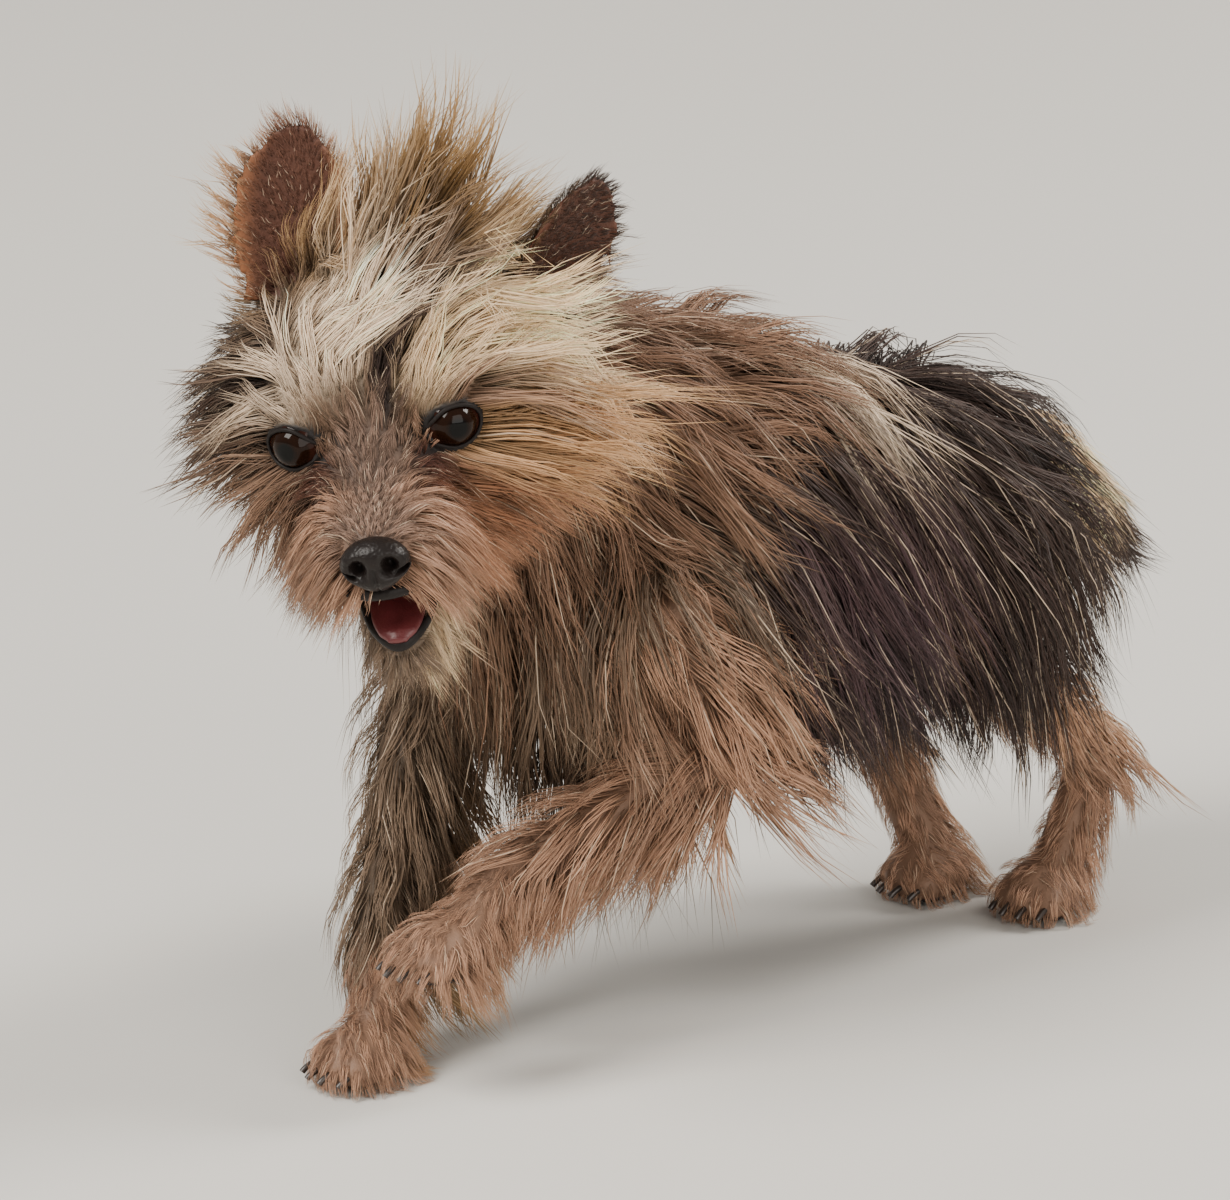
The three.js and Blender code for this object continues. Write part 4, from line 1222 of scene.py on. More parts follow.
def leather_material(name, pebble, roughness):
    """Bare dog leather of the nose, lips and lids: dark and slightly moist, with pebbles of a size in mm."""
    colour = bpy.context.scene.terrier_colours.leather
    material, tree, shader = new_material(name)
    place = add_node(tree, "ShaderNodeTexCoord")
    pebbles = add_node(
        tree,
        "ShaderNodeTexVoronoi",
        {"feature": "SMOOTH_F1"},
        Vector=place.outputs["Object"],
        Scale=1 / (pebble * MM),
    )
    mottle = add_node(
        tree,
        "ShaderNodeTexNoise",
        Vector=place.outputs["Object"],
        Scale=1 / (4 * MM),
        Detail=4.0,
    )
    low = tuple(0.7 * part for part in colour[:]) + (1,)
    high = tuple(min(1, 1.6 * part + 0.004) for part in colour[:]) + (1,)
    tint = add_node(tree, "ShaderNodeMix", {"data_type": "RGBA"}, _0=mottle.outputs["Fac"], _6=low, _7=high)
    bump = add_node(
        tree,
        "ShaderNodeBump",
        Height=pebbles.outputs["Distance"],
        Strength=0.6,
        Distance=0.35 * MM,
    )
    tree.links.new(tint.outputs[2], shader.inputs["Base Color"])
    tree.links.new(bump.outputs["Normal"], shader.inputs["Normal"])
    set_shader(
        shader,
        Roughness=roughness,
        IOR=1.45,
        Specular_IOR_Level=0.22,
        Coat_Weight=0.08,
        Coat_Roughness=0.3,
    )
    return material


def eye_material():
    """A dark brown eye behind a wet, clear cornea."""
    material, tree, shader = new_material("wet_eye")
    marking = add_node(tree, "ShaderNodeAttribute", {"attribute_name": "Marking"})
    place = add_node(tree, "ShaderNodeTexCoord")
    fibre = add_node(
        tree,
        "ShaderNodeTexNoise",
        Vector=place.outputs["Object"],
        Scale=1 / (0.5 * MM),
        Detail=3.0,
    )
    shade = add_node(tree, "ShaderNodeMapRange", Value=fibre.outputs["Fac"], To_Min=0.7, To_Max=1.3)
    tint = add_node(
        tree,
        "ShaderNodeVectorMath",
        {"operation": "SCALE"},
        _0=marking.outputs["Color"],
        Scale=shade.outputs["Result"],
    )
    tree.links.new(tint.outputs["Vector"], shader.inputs["Base Color"])
    set_shader(
        shader,
        Roughness=0.08,
        IOR=1.38,
        Specular_IOR_Level=0.1,
        Coat_Weight=0.16,
        Coat_Roughness=0.02,
    )
    return material


def claw_material(colour):
    """Dark horn of the claws: smooth keratin with faint growth lines."""
    material, tree, shader = new_material("claw_horn")
    place = add_node(tree, "ShaderNodeTexCoord")
    lines = add_node(
        tree,
        "ShaderNodeTexNoise",
        Vector=place.outputs["Object"],
        Scale=1 / (1.2 * MM),
        Detail=2.0,
    )
    low = tuple(0.6 * part for part in colour[:]) + (1,)
    high = tuple(1.8 * part for part in colour[:]) + (1,)
    tint = add_node(tree, "ShaderNodeMix", {"data_type": "RGBA"}, _0=lines.outputs["Fac"], _6=low, _7=high)
    tree.links.new(tint.outputs[2], shader.inputs["Base Color"])
    set_shader(shader, Roughness=0.35, IOR=1.55)
    return material


# The finished skin, kept here for the coat that grows on it
SKIN = {}
# Rounds that smooth the ears, and the least number of points in a whole skin
EAR_ROUNDS = 2
LEAST_POINTS = 10000
# How far the skin goes behind the front of an eyeball, and how thick the lids are
SOCKET_DEPTH = 1.5
LID_THICKNESS = 0.7
NOT_FACING = 99


def remeshed(obj, grain):
    """The closed shapes of an object as one skin of even faces."""
    modifier = obj.modifiers.new("Skin", "REMESH")
    modifier.mode = "VOXEL"
    modifier.voxel_size = grain
    whole = obj.evaluated_get(bpy.context.evaluated_depsgraph_get())
    mesh = bpy.data.meshes.new_from_object(whole)
    obj.modifiers.clear()
    old = obj.data
    obj.data = mesh
    bpy.data.meshes.remove(old)


def lid_opening(points, side, face):
    """How far off an eye's gaze points are, 1 being the lids' edge, with their ways, distances and axes."""
    axes = eye_axes(side)
    places = (points - eye_centre(side)) @ axes
    far = np.linalg.norm(places, axis=1)
    ways = places / np.maximum(far, 1e-6)[:, None]
    high, wide = face.lid_height / MM / 2, face.lid_width / MM / 2
    opening = np.hypot(ways[:, 1] * EYE_RADIUS / wide, ways[:, 2] * EYE_RADIUS / high)
    opening[(ways[:, 0] < 0.15) | (far > EYE_RADIUS + 9)] = NOT_FACING
    return opening, ways, far, axes


def open_the_eyes(points, face):
    """Skin inside the opening of the lids goes behind the eyeball, and skin round it wraps the ball."""
    for side in (1, -1):
        opening, ways, far, axes = lid_opening(points, side, face)
        inside = opening < 1.0
        lid = ~inside & (opening < NOT_FACING)
        wrap = 1 - smoothstep(opening, 1.0, 1.9)
        far = np.where(inside, np.minimum(far, EYE_RADIUS - SOCKET_DEPTH), far)
        far = np.where(lid, mix(far, EYE_RADIUS + LID_THICKNESS, wrap), far)
        near = inside | lid
        points[near] = eye_centre(side) + (ways[near] * far[near, None]) @ axes.T
    return points


class BuildOperator:
    """What every piece's operator shares."""

    bl_options = {"REGISTER", "UNDO"}


class OBJECT_OT_terrier_skin(BuildOperator, bpy.types.Operator):
    """Builds the one skin of head, neck, trunk, legs, ears and tail"""

    bl_idname = "object.terrier_skin"
    bl_label = "Skin"

    def execute(self, context):
        settings = context.scene.terrier_skin
        shapes = [form.shape() for form in FORMS]
        shapes += [shape for name in LEGS for shape in paw_shapes(name)]
        shapes += [ear.shape() for ear in EARS.values()]
        obj = new_object("skin", *join(shapes), skin_material())
        remeshed(obj, settings.grain)
        mesh = obj.data
        edges = read(mesh.edges, "vertices", 2, np.int32)
        points = read(mesh.vertices, "co", 3) / MM - SHIFT
        rough = points.copy()
        points = spread_over(points, edges, settings.rounds)
        for ear in EARS.values():
            u, v, front = ear.places(rough)
            on_ear = ear.holds(u, v, front, lowest=0.15, widest=1.3, thickest=3.5) & (u < 1.2)
            points[on_ear] = spread_over(rough, edges, EAR_ROUNDS)[on_ear]
        points = open_the_eyes(points, context.scene.terrier_face)
        points[:, 2] = np.maximum(points[:, 2], 0.05)
        mesh.vertices.foreach_set("co", to_frame(points).astype(np.float32).ravel())
        mesh.polygons.foreach_set("use_smooth", np.ones(len(mesh.polygons), bool))
        mesh.update()
        if len(mesh.vertices) < LEAST_POINTS:
            raise RuntimeError("the skin did not close into one mesh")
        skin = Skin(obj)
        SKIN["whole"] = skin
        set_colours(obj, skin_colours(skin))
        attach(obj, BODY)
        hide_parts("head", "jaw", "neck", "torso", "tail", "ear_left", "ear_right", *LEG_NODES)
        return {"FINISHED"}


LEG_NODES = [f"{leg}_{part}" for leg in LEG_JOINTS for part in ("paw", "lower_leg", "upper_leg")]


# The skin takes the coat's markings at this share of their brightness: painted shade of the coat over it.
SKIN_SHADE = 0.55


def skin_colours(skin):
    """The coat's markings, darkened on the skin as painted shade under the coat, with the dark lids and soles,
    the dark mouth (partly painted shade) and the warm ears, darker in the cup as painted shade and with a
    painted glow on the right ear's rim.
    """
    palette = bpy.context.scene.terrier_colours
    colours = marked_colours(skin.points, skin.region) * SKIN_SHADE
    places = off_head(skin.points)
    # Painted shade: the inside of the open mouth is blended to the near black mouth colour, partly its own
    # dark colour and partly painted shade.
    mouth = off_middle(places, *MOUTH_DARK)
    share = (1 - smoothstep(mouth, 0.8, 1.1))[:, None]
    colours = mix(colours, np.array(palette.mouth[:]), share)
    leather = np.array(palette.leather[:])
    for side in (1, -1):
        opening = lid_opening(skin.points, side, bpy.context.scene.terrier_face)[0]
        colours = mix(colours, leather, (1 - smoothstep(opening, 1.15, 1.4))[:, None])
    for name in LEGS:
        middle, _, _, _ = paw_places(name)
        near = np.linalg.norm(skin.points - middle, axis=1) < SOLE_REACH
        sole = near & (skin.points[:, 2] < middle[2] - 4)
        sole &= skin.normals[:, 2] < -0.4
        colours[sole] = leather
    # Painted shade and glow: ear skin is darker in the middle of the cup and brighter towards the rim, and the
    # right ear's rim is painted warm and bright as a glow of light from behind.
    for name, ear in (("ear_left", EARS[1]), ("ear_right", EARS[-1])):
        here = skin.region == REGIONS.index(name)
        rim = smoothstep(np.abs(skin.angle), 0.5, 1.0)
        warmth_and_rim_glow = 0.15 + 0.75 * rim * (ear is EARS[-1])
        tone = mix(np.array(palette.stain[:]), np.array(palette.rust[:]), warmth_and_rim_glow[:, None])
        colours[here] = (tone * (0.7 + 0.4 * rim)[:, None])[here]
    return colours


# Pieces of the coat, as lines of: name, parts, side (0 is both), strands, locks, steps in a strand, slot
COAT_PIECES = [
    ("coat_flank_left", ("torso",), 1, 8000, 620, 4, "dark_coat"),
    ("coat_flank_right", ("torso",), -1, 8000, 620, 4, "dark_coat"),
    ("coat_ruff", ("neck",), 0, 8000, 420, 4, "grey_coat"),
    ("coat_crown_left", ("skull",), 1, 7400, 460, 4, "gold_coat"),
    ("coat_crown_right", ("skull",), -1, 7400, 460, 4, "gold_coat"),
    ("coat_muzzle", ("muzzle", "jaw"), 0, 10000, 900, 3, "gold_coat"),
    ("coat_ears", ("ear_left", "ear_right"), 0, 7500, 1300, 3, "gold_coat"),
    ("coat_fore_legs", ("fore",), 0, 10500, 760, 3, "tan_coat"),
    ("coat_hind_legs", ("hind",), 0, 9000, 700, 3, "tan_coat"),
    ("coat_tail", ("tail",), 0, 2800, 140, 4, "dark_coat"),
]
GUIDE_STEPS = 8
# How locks wander: over what distance together, how far together and how far each on its own
WANDER_OVER = 26
WANDER_TOGETHER = 0.16
WANDER_ALONE = 0.09
# How deep under the skin locks and strands start, and how far they stay off the floor
LOCK_ROOT = 0.5
STRAND_ROOT = 0.6
LOCK_OFF_FLOOR = 0.5
STRAND_OFF_FLOOR = 0.4
# Lengths of a lock for which its strays and the widths of its strands are given
FRIZZ_AT_LENGTH = 45
WIDTH_AT_LENGTH = 40
PINCH_SPREAD = 0.14
# Least and most shade of a lock and of a strand, the share of silver strands and the shade at the roots
LOCK_SHADES = (0.72, 1.28)
STRAND_SHADES = (0.78, 1.22)
SILVER_SHARE = 0.05
ROOT_SHADE = 0.55


def lay_guides(skin, root, out, hair, draw):
    """The middle lines of the locks, from the skin along the lie of the coat."""
    count = len(root)
    together = drift(root, WANDER_OVER, SEED) * WANDER_TOGETHER
    wander = together + draw.normal(size=(count, 3)) * WANDER_ALONE
    flow = unit(hair["flow"] + wander)
    lie = unit(flow - out * np.einsum("ij,ij->i", flow, out)[:, None])
    rise = unit(lie + out * hair["stand"][:, None])
    length = hair["length"] * draw.uniform(0.8, 1.1, count)
    depth = hair["depth"] * draw.uniform(0.2, 1.0, count)
    curl = bpy.context.scene.terrier_coat.curl
    aside = unit(np.cross(lie, out))
    phase = draw.uniform(0, 2 * math.pi, count)
    line = [root - out * LOCK_ROOT]
    at = root.copy()
    for k in range(1, GUIDE_STEPS + 1):
        share = k / GUIDE_STEPS
        way = unit(mix(rise, flow, min(1, share * 1.6)))
        way[:, 2] -= hair["droop"] * share
        sway = np.sin(phase + share * 5) * curl * 5 * share
        way = unit(way + aside * sway[:, None])
        at = at + way * (length / GUIDE_STEPS)[:, None]
        height, outward_way = skin.nearest(at)
        wanted = mix(0.25, depth, min(1, share * 2.2))
        at = at + outward_way * np.maximum(0, wanted - height)[:, None]
        at[:, 2] = np.maximum(at[:, 2], LOCK_OFF_FLOOR)
        line.append(at)
    return np.stack(line, axis=1)


def nearest_of(points, centres, draw, strays):
    """The index of the centre nearest to each point, or of the second nearest for a share of them."""
    tree = KDTree(len(centres))
    for index, centre in enumerate(centres.tolist()):
        tree.insert(centre, index)
    tree.balance()
    found = np.array([[hit[1] for hit in tree.find_n(point, 2)] for point in points.tolist()])
    second = (draw.uniform(size=len(points)) < strays).astype(int)
    return found[np.arange(len(points)), second]


def along_line(lines, share):
    """Points of each line at several shares of its length."""
    place = np.clip(share, 0, 1) * (lines.shape[1] - 1)
    index = np.minimum(place.astype(int), lines.shape[1] - 2)
    part = (place - index)[..., None]
    rows = np.arange(len(lines))[:, None]
    return mix(lines[rows, index], lines[rows, index + 1], part)


# Widths along a strand of three or of four steps, and its back and belly as shares of its width
STRAND_WIDTHS = {3: (0.8, 1.0, 0.62), 4: (0.8, 1.0, 0.82, 0.5)}
STRAND_BACK = 0.55
STRAND_BELLY = 0.3


def strand_shapes(lines, out, width):
    """Closed, flat, three-sided strands that taper to a point, one along each line."""
    steps = lines.shape[1] - 1
    way = unit(np.gradient(lines, axis=1))
    side = unit(np.cross(way, out[:, None, :]))
    face = np.cross(side, way)
    profile = np.array(STRAND_WIDTHS[steps])[None, :, None] * width[:, None, None]
    ring = lines[:, :steps]
    left = ring + side[:, :steps] * profile - face[:, :steps] * profile * STRAND_BELLY
    right = ring - side[:, :steps] * profile - face[:, :steps] * profile * STRAND_BELLY
    top = ring + face[:, :steps] * profile * STRAND_BACK
    corners = np.stack([left, top, right], axis=2).reshape(len(lines), steps * 3, 3)
    points = np.concatenate([corners, lines[:, steps:]], axis=1)
    faces = [(0, 1, 2)]
    for k in range(steps - 1):
        for c in range(3):
            low, low_next = 3 * k + c, 3 * k + (c + 1) % 3
            faces += [(low, low + 3, low_next + 3), (low, low_next + 3, low_next)]
    last = 3 * (steps - 1)
    faces += [(last + c, 3 * steps, last + (c + 1) % 3) for c in range(3)]
    per = 3 * steps + 1
    whole = (np.arange(len(lines)) * per)[:, None, None] + np.array(faces)[None]
    shares = np.concatenate([np.repeat(np.arange(steps) / steps, 3), [1.0]])
    return points.reshape(-1, 3), whole.reshape(-1, 3), shares


# Side of the patch that a strand takes on the map, at its root's place
TUFT_PATCH = 0.003


def unwrap(skin, faces, names):
    """Where roots lie on an unwrap of the skin, in one strip a part: round it across, along it upwards."""
    corner = skin.faces[faces, 0]
    region = skin.region[corner]
    strips = {REGIONS.index(name): k for k, name in enumerate(names)}
    strip = np.array([strips.get(r, 0) for r in region])
    ear = np.isin(region, [REGIONS.index("ear_left"), REGIONS.index("ear_right")])
    around = np.where(ear, (skin.angle[corner] + 1) / 2, skin.angle[corner] / 360)
    margin = 0.01
    inner = 1 - 2 * margin
    across = margin + (strip + margin + around * inner) / len(names) * inner
    upwards = margin + skin.t[corner] * (1 - 3 * margin)
    return np.stack([across, upwards], axis=1)


def coat_piece(name, parts, side, strands, locks, steps, slot, draw):
    """One piece of the coat: locks of strands over some parts of the skin."""
    skin = SKIN["whole"]
    settings = bpy.context.scene.terrier_coat
    names = [region for region in REGIONS if region in parts or region.split("_")[0] in parts]
    where = np.isin(skin.region, [REGIONS.index(region) for region in names]).astype(float)
    if side:
        middle = off_head(skin.points)[:, 1] if "skull" in parts else skin.points[:, 0]
        where *= smoothstep(middle * side, -0.01, 0.01)
    strands = int(strands * settings.fill)
    guide_faces, guide_shares = skin.sample(locks, where, draw)
    guide_root = skin.read_at(skin.points, guide_faces, guide_shares)
    guide_out = unit(skin.read_at(skin.normals, guide_faces, guide_shares))
    hair = {key: skin.read_at(values, guide_faces, guide_shares) for key, values in skin.hair.items()}
    guides = lay_guides(skin, guide_root, guide_out, hair, draw)
    faces, shares = skin.sample(strands, where, draw)
    root = skin.read_at(skin.points, faces, shares)
    out = unit(skin.read_at(skin.normals, faces, shares))
    own = nearest_of(root, guide_root, draw, settings.strays)
    wanted = skin.read_at(skin.hair["length"], faces, shares)
    length = np.clip(wanted / np.maximum(hair["length"][own], 1), 0.4, 1.0)
    length *= draw.uniform(0.62, 1.0, strands)
    places = unwrap(skin, faces, names)
    grow_strands(name, root, out, guides[own], own, length, steps, places, draw, faces)


def grow_strands(name, root, out, lines, lock, length, steps, places, draw, faces):
    """Strands that start at their roots and draw together along the middle line of their lock."""
    settings = bpy.context.scene.terrier_coat
    skin = SKIN["whole"]
    count = len(root)
    share = np.linspace(0, 1, steps + 1)[None, :] * length[:, None]
    middle = along_line(lines, share)
    size = np.linalg.norm(lines[:, -1] - lines[:, 0], axis=1)
    apart = root - lines[:, 0]
    pinch = np.clip(draw.normal(settings.pinch, PINCH_SPREAD, count), 0.2, 0.98)[:, None]
    keep = 1 - pinch * share**0.7
    free = np.clip(size / FRIZZ_AT_LENGTH, 0.06, 1.3)[:, None]
    stray = draw.normal(size=(count, 3)) * settings.frizz * free
    wave = np.sin(share * 6 + draw.uniform(0, 2 * math.pi, count)[:, None])
    sway = unit(np.cross(lines[:, -1] - lines[:, 0], out)) * (0.02 * size)[:, None]
    strand = middle + apart[:, None, :] * keep[..., None] + stray[:, None, :] * (share**1.3)[..., None]
    strand += sway[:, None, :] * (wave * share)[..., None]
    strand[:, 0] = root - out * STRAND_ROOT
    strand[:, 1:, 2] = np.maximum(strand[:, 1:, 2], STRAND_OFF_FLOOR)
    width = settings.strand * np.clip(size / WIDTH_AT_LENGTH, 0.35, 1.15) * draw.uniform(0.7, 1.3, count)
    points, triangles, shares = strand_shapes(strand, out, width)
    obj = new_object(name, points, triangles, bpy.data.materials["silky_hair"])
    corner = skin.faces[faces, 0]
    colours = strand_colours(root, skin.region[corner], out, size, lock, shares, draw)
    set_colours(obj, colours.reshape(-1, 3))
    across = np.concatenate([np.tile([0.0, 0.5, 1.0], steps), [0.5]])
    patch = np.stack([across, shares], axis=1)[None] * TUFT_PATCH
    set_uv(obj, (places[:, None, :] + patch).reshape(-1, 2))
    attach(obj, BODY)


def strand_colours(root, region, out, size, lock, shares, draw):
    """A colour for each point of each strand: the marking in a shade of its own, darker in the ear cups as
    painted shade, paler at the tip.
    """
    palette = bpy.context.scene.terrier_colours
    base = marked_colours(root, region)
    # Painted shade: the middle of each ear's cup is darkened, towards the tear-stain brown on the right ear
    # and umber on the left.
    for ear in EARS.values():
        cup = (region == REGIONS.index(ear.name)) * smoothstep(out @ ear.out, 0.1, 0.5)
        cup = cup * (1 - smoothstep(np.abs(ear.places(root)[1]), 0.55, 0.95))
        dark = palette.stain if ear is EARS[-1] else palette.umber
        base = mix(base, np.array(dark[:]), 0.85 * cup[:, None])
    shade_of_lock = np.random.default_rng(SEED + 1).uniform(*LOCK_SHADES, lock.max() + 1)[lock]
    own = draw.uniform(*STRAND_SHADES, len(root))
    base = base * (shade_of_lock * own)[:, None]
    silver = (draw.uniform(size=len(root)) < SILVER_SHARE)[:, None]
    base = np.where(silver, mix(base, np.array(palette.silver[:]), 0.5), base)
    tip = tip_colours(root, region, out, base)
    along = (shares**1.6)[None, :, None]
    dim = mix(ROOT_SHADE, 1, np.clip(shares * 3, 0, 1))[None, :, None]
    return np.clip(mix(base[:, None, :], tip[:, None, :], along) * dim, 0, 1)


def tip_colours(root, region, out, base):
    """Tips are a little paler, and golden on the crown, the ears' fringe and the backs of the legs: partly the
    coat's own gold, partly painted rim light, strongest on the right ear's fringe.
    """
    palette = bpy.context.scene.terrier_colours
    gold = np.array(palette.gold[:])
    places = off_head(root)
    high = smoothstep(places[:, 2], 18, 32)
    forward = smoothstep(places[:, 0], -24, -6)
    share = 0.7 * ((region == REGIONS.index("skull")) * high * (1 - forward))
    # Painted rim light: the right ear's fringe takes far more gold than the left's.
    for ear, most in ((EARS[-1], 0.9), (EARS[1], 0.25)):
        rim = smoothstep(np.abs(ear.places(root)[1]), 0.6, 0.95)
        share = np.maximum(share, most * rim * (region == REGIONS.index(ear.name)))
    # Painted rim light: gold on the backs of the lower legs and feet.
    behind = smoothstep(out[:, 1], 0.1, 0.9)
    for name in LEGS:
        for part in ("lower", "foot"):
            share = np.maximum(share, 0.6 * behind * (region == REGIONS.index(f"{name}_{part}")))
    return mix(base * 1.25, gold, share[:, None])


class OBJECT_OT_terrier_coat(BuildOperator, bpy.types.Operator):
    """Grows the long coat over the skin, in locks of fine strands"""

    bl_idname = "object.terrier_coat"
    bl_label = "Coat"

    def execute(self, context):
        if "whole" not in SKIN:
            raise RuntimeError("build the skin before the coat")
        hair_material()
        for index, piece in enumerate(COAT_PIECES):
            coat_piece(*piece, np.random.default_rng(SEED + 10 * index))
        return {"FINISHED"}


# How far the cornea bulges, and what is added to the distance from the gaze on the back of the ball
CORNEA = 0.7
BEHIND_GAZE = 20


def eye_shape(side):
    """An eyeball with a bulging cornea, and how far each point is from the middle of its gaze."""
    axes = eye_axes(side)
    rings, sides = 40, 56
    tilt = np.linspace(0, math.pi, rings + 2)[1:-1]
    turn = np.arange(sides) * 2 * math.pi / sides
    radius = EYE_RADIUS + CORNEA * (1 - smoothstep(tilt, 0.35, 0.75))
    x = (radius * np.cos(tilt))[:, None] * np.ones(sides)
    y = (radius * np.sin(tilt))[:, None] * np.cos(turn)
    z = (radius * np.sin(tilt))[:, None] * np.sin(turn)
    globe = np.stack([x, y, z], axis=2) @ axes.T + eye_centre(side)
    front = eye_centre(side) + axes[:, 0] * (EYE_RADIUS + CORNEA)
    back = eye_centre(side) - axes[:, 0] * EYE_RADIUS
    points, faces = closed_tube(globe, front, back)
    behind = (tilt > math.pi / 2) * BEHIND_GAZE
    off_gaze = np.concatenate([[0], np.repeat(EYE_RADIUS * np.sin(tilt) + behind, sides), [NOT_FACING]])
    return points, faces, off_gaze


class OBJECT_OT_terrier_eyes(BuildOperator, bpy.types.Operator):
    """Builds both eyeballs and the dark rims of their lids"""

    bl_idname = "object.terrier_eyes"
    bl_label = "Eyes"

    def execute(self, context):
        palette = context.scene.terrier_colours
        face = context.scene.terrier_face
        material = eye_material()
        iris = face.iris / MM
        for name, side in (("eye_left", 1), ("eye_right", -1)):
            points, faces, off_gaze = eye_shape(side)
            obj = new_object(f"eyeball_{name[4:]}", points, faces, material)
            pupil = smoothstep(off_gaze, iris * 0.42, iris * 0.5)[:, None]
            white = smoothstep(off_gaze, iris * 0.98, iris * 1.12)[:, None]
            colours = mix(np.full((len(points), 3), 0.002), np.array(palette.iris[:]), pupil)
            colours = mix(colours, np.array(palette.stain[:]) * 0.35, white)
            set_colours(obj, colours)
            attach(obj, BODY)
            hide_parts(name)
        leather = leather_material("lid_leather", 0.9, 0.7)
        rims = new_object("eyelid_rims", *join([lid_rim(side, face) for side in (1, -1)]), leather)
        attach(rims, BODY)
        return {"FINISHED"}


def tube_along(line, half, up, sides=12, closed=False):
    """A round bead of half thickness given at each point of a line."""
    ways = np.roll(line, -1, axis=0) - np.roll(line, 1, axis=0)
    if not closed:
        ways[0], ways[-1] = line[1] - line[0], line[-1] - line[-2]
    ways = unit(ways)
    side = unit(np.cross(ways, up))
    top = np.cross(side, ways)
    turn = np.arange(sides) * 2 * math.pi / sides
    rings = line[:, None] + half[:, None, None] * (
        side[:, None] * np.cos(turn)[None, :, None] + top[:, None] * np.sin(turn)[None, :, None]
    )
    if not closed:
        return closed_tube(rings, line[0] - ways[0] * half[0] * 0.5, line[-1] + ways[-1] * half[-1] * 0.5)
    count = len(line)
    index = np.arange(count * sides).reshape(count, sides)
    low, high = index, np.roll(index, -1, axis=0)
    low_next, high_next = np.roll(low, -1, axis=1), np.roll(high, -1, axis=1)
    first = np.stack([low, low_next, high_next], axis=2).reshape(-1, 3)
    second = np.stack([low, high_next, high], axis=2).reshape(-1, 3)
    return outward(rings.reshape(-1, 3), np.concatenate([first, second]))


# How far the middle of a lid's rim stands off the ball, and its half thickness below the eye
RIM_RISE = 0.45
RIM_HALF = 0.4


def lid_rim(side, face):
    """The rim of the lids round one eye: an oval with a sharper inner corner, on the ball's surface."""
    axes = eye_axes(side)
    turn = np.linspace(0, 2 * math.pi, 64, endpoint=False)
    wide, high = face.lid_width / MM / 2, face.lid_height / MM / 2
    inner = np.clip(-side * np.cos(turn), 0, 1)
    across = wide * np.cos(turn) * (1 + 0.14 * inner**4)
    rise = high * np.sin(turn) * (1 - 0.22 * inner**2) - 0.8 * inner**3
    ways = unit(np.stack([np.sqrt(np.maximum(EYE_RADIUS**2 - across**2 - rise**2, 4)), across, rise], axis=1))
    line = eye_centre(side) + ways * (EYE_RADIUS + RIM_RISE) @ axes.T
    half = RIM_HALF + 0.15 * np.clip(np.sin(turn), 0, 1)
    return tube_along(line, half, ways @ axes.T, closed=True)


NOSE_AT = (32, 0, -20.3)
NOSE_SIZE = (12, 17.5, 13.5)
# Dents and bulges of the nose leather, as: how far aside, how high, half width and half height
NOSTRIL = (4.1, 0.4, 1.9, 2.2)
SLIT = (6.9, 0.0, 2.6, 0.75)
WING = (5.6, 2.9, 2.6, 1.6)
SLIT_DROP = 1.4
SLIT_SLANT = 0.25
NOSTRIL_DEPTH = 5.0
WING_RISE = 0.7
GROOVE_WIDTH = 0.55
GROOVE_DEPTH = 0.9


def dent(y, z, side, form):
    """How deep in a dent of the nose points are, from 0 beside it to 1 in its middle."""
    aside, high, wide, tall = form
    return np.exp(-(((y - side * aside) / wide) ** 2 + ((z - high) / tall) ** 2))


class OBJECT_OT_terrier_nose(BuildOperator, bpy.types.Operator):
    """Builds the nose leather with its nostrils, wings and groove"""

    bl_idname = "object.terrier_nose"
    bl_label = "Nose"

    def execute(self, context):
        points, faces = ball((0, 0, 0), (2, 2, 2), rings=90, sides=120)
        forward, left, up = points.T
        size = np.array(NOSE_SIZE) / 2
        narrow = 1 - 0.26 * smoothstep(-up, 0.1, 1.0)
        flat = np.where(forward > 0, 1 - 0.14 * forward**6, 1)
        x, y, z = forward * size[0] * flat, left * size[1] * narrow, up * size[2]
        front = smoothstep(forward, -0.1, 0.5)
        for side in (1, -1):
            hole = dent(y, z, side, NOSTRIL)
            slit = dent(y, z + SLIT_DROP - SLIT_SLANT * (np.abs(y) - SLIT[0]), side, SLIT)
            pit = np.maximum(hole, slit * 0.75) * front
            x = x - NOSTRIL_DEPTH * pit
            y = y * (1 - 0.10 * pit)
            x = x + WING_RISE * (dent(y, z, side, WING) * front)
        groove = np.exp(-((y / GROOVE_WIDTH) ** 2)) * smoothstep(-z, -1.5, 0.5) * front
        x = x - GROOVE_DEPTH * groove
        places = np.stack([x, y, z], axis=1) + NOSE_AT
        leather = leather_material("nose_leather_pebbled", 0.8, 0.38)
        obj = new_object("nose_leather", on_head(places), faces, leather)
        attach(obj, BODY)
        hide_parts("nose")
        return {"FINISHED"}


UPPER_LIP = [(2, 14, -28), (14, 13, -28.5), (24, 9.5, -29.5), (30, 0, -29)]
LOWER_LIP = [(-1, 11, -33), (10, 9, -38.5), (19, 5.5, -43.5), (23, 0, -46)]
TONGUE_GROOVE = 0.8


def both_sides(half_line):
    mirror = [(forward, -left, up) for forward, left, up in half_line[-2::-1]]
    return half_line + mirror


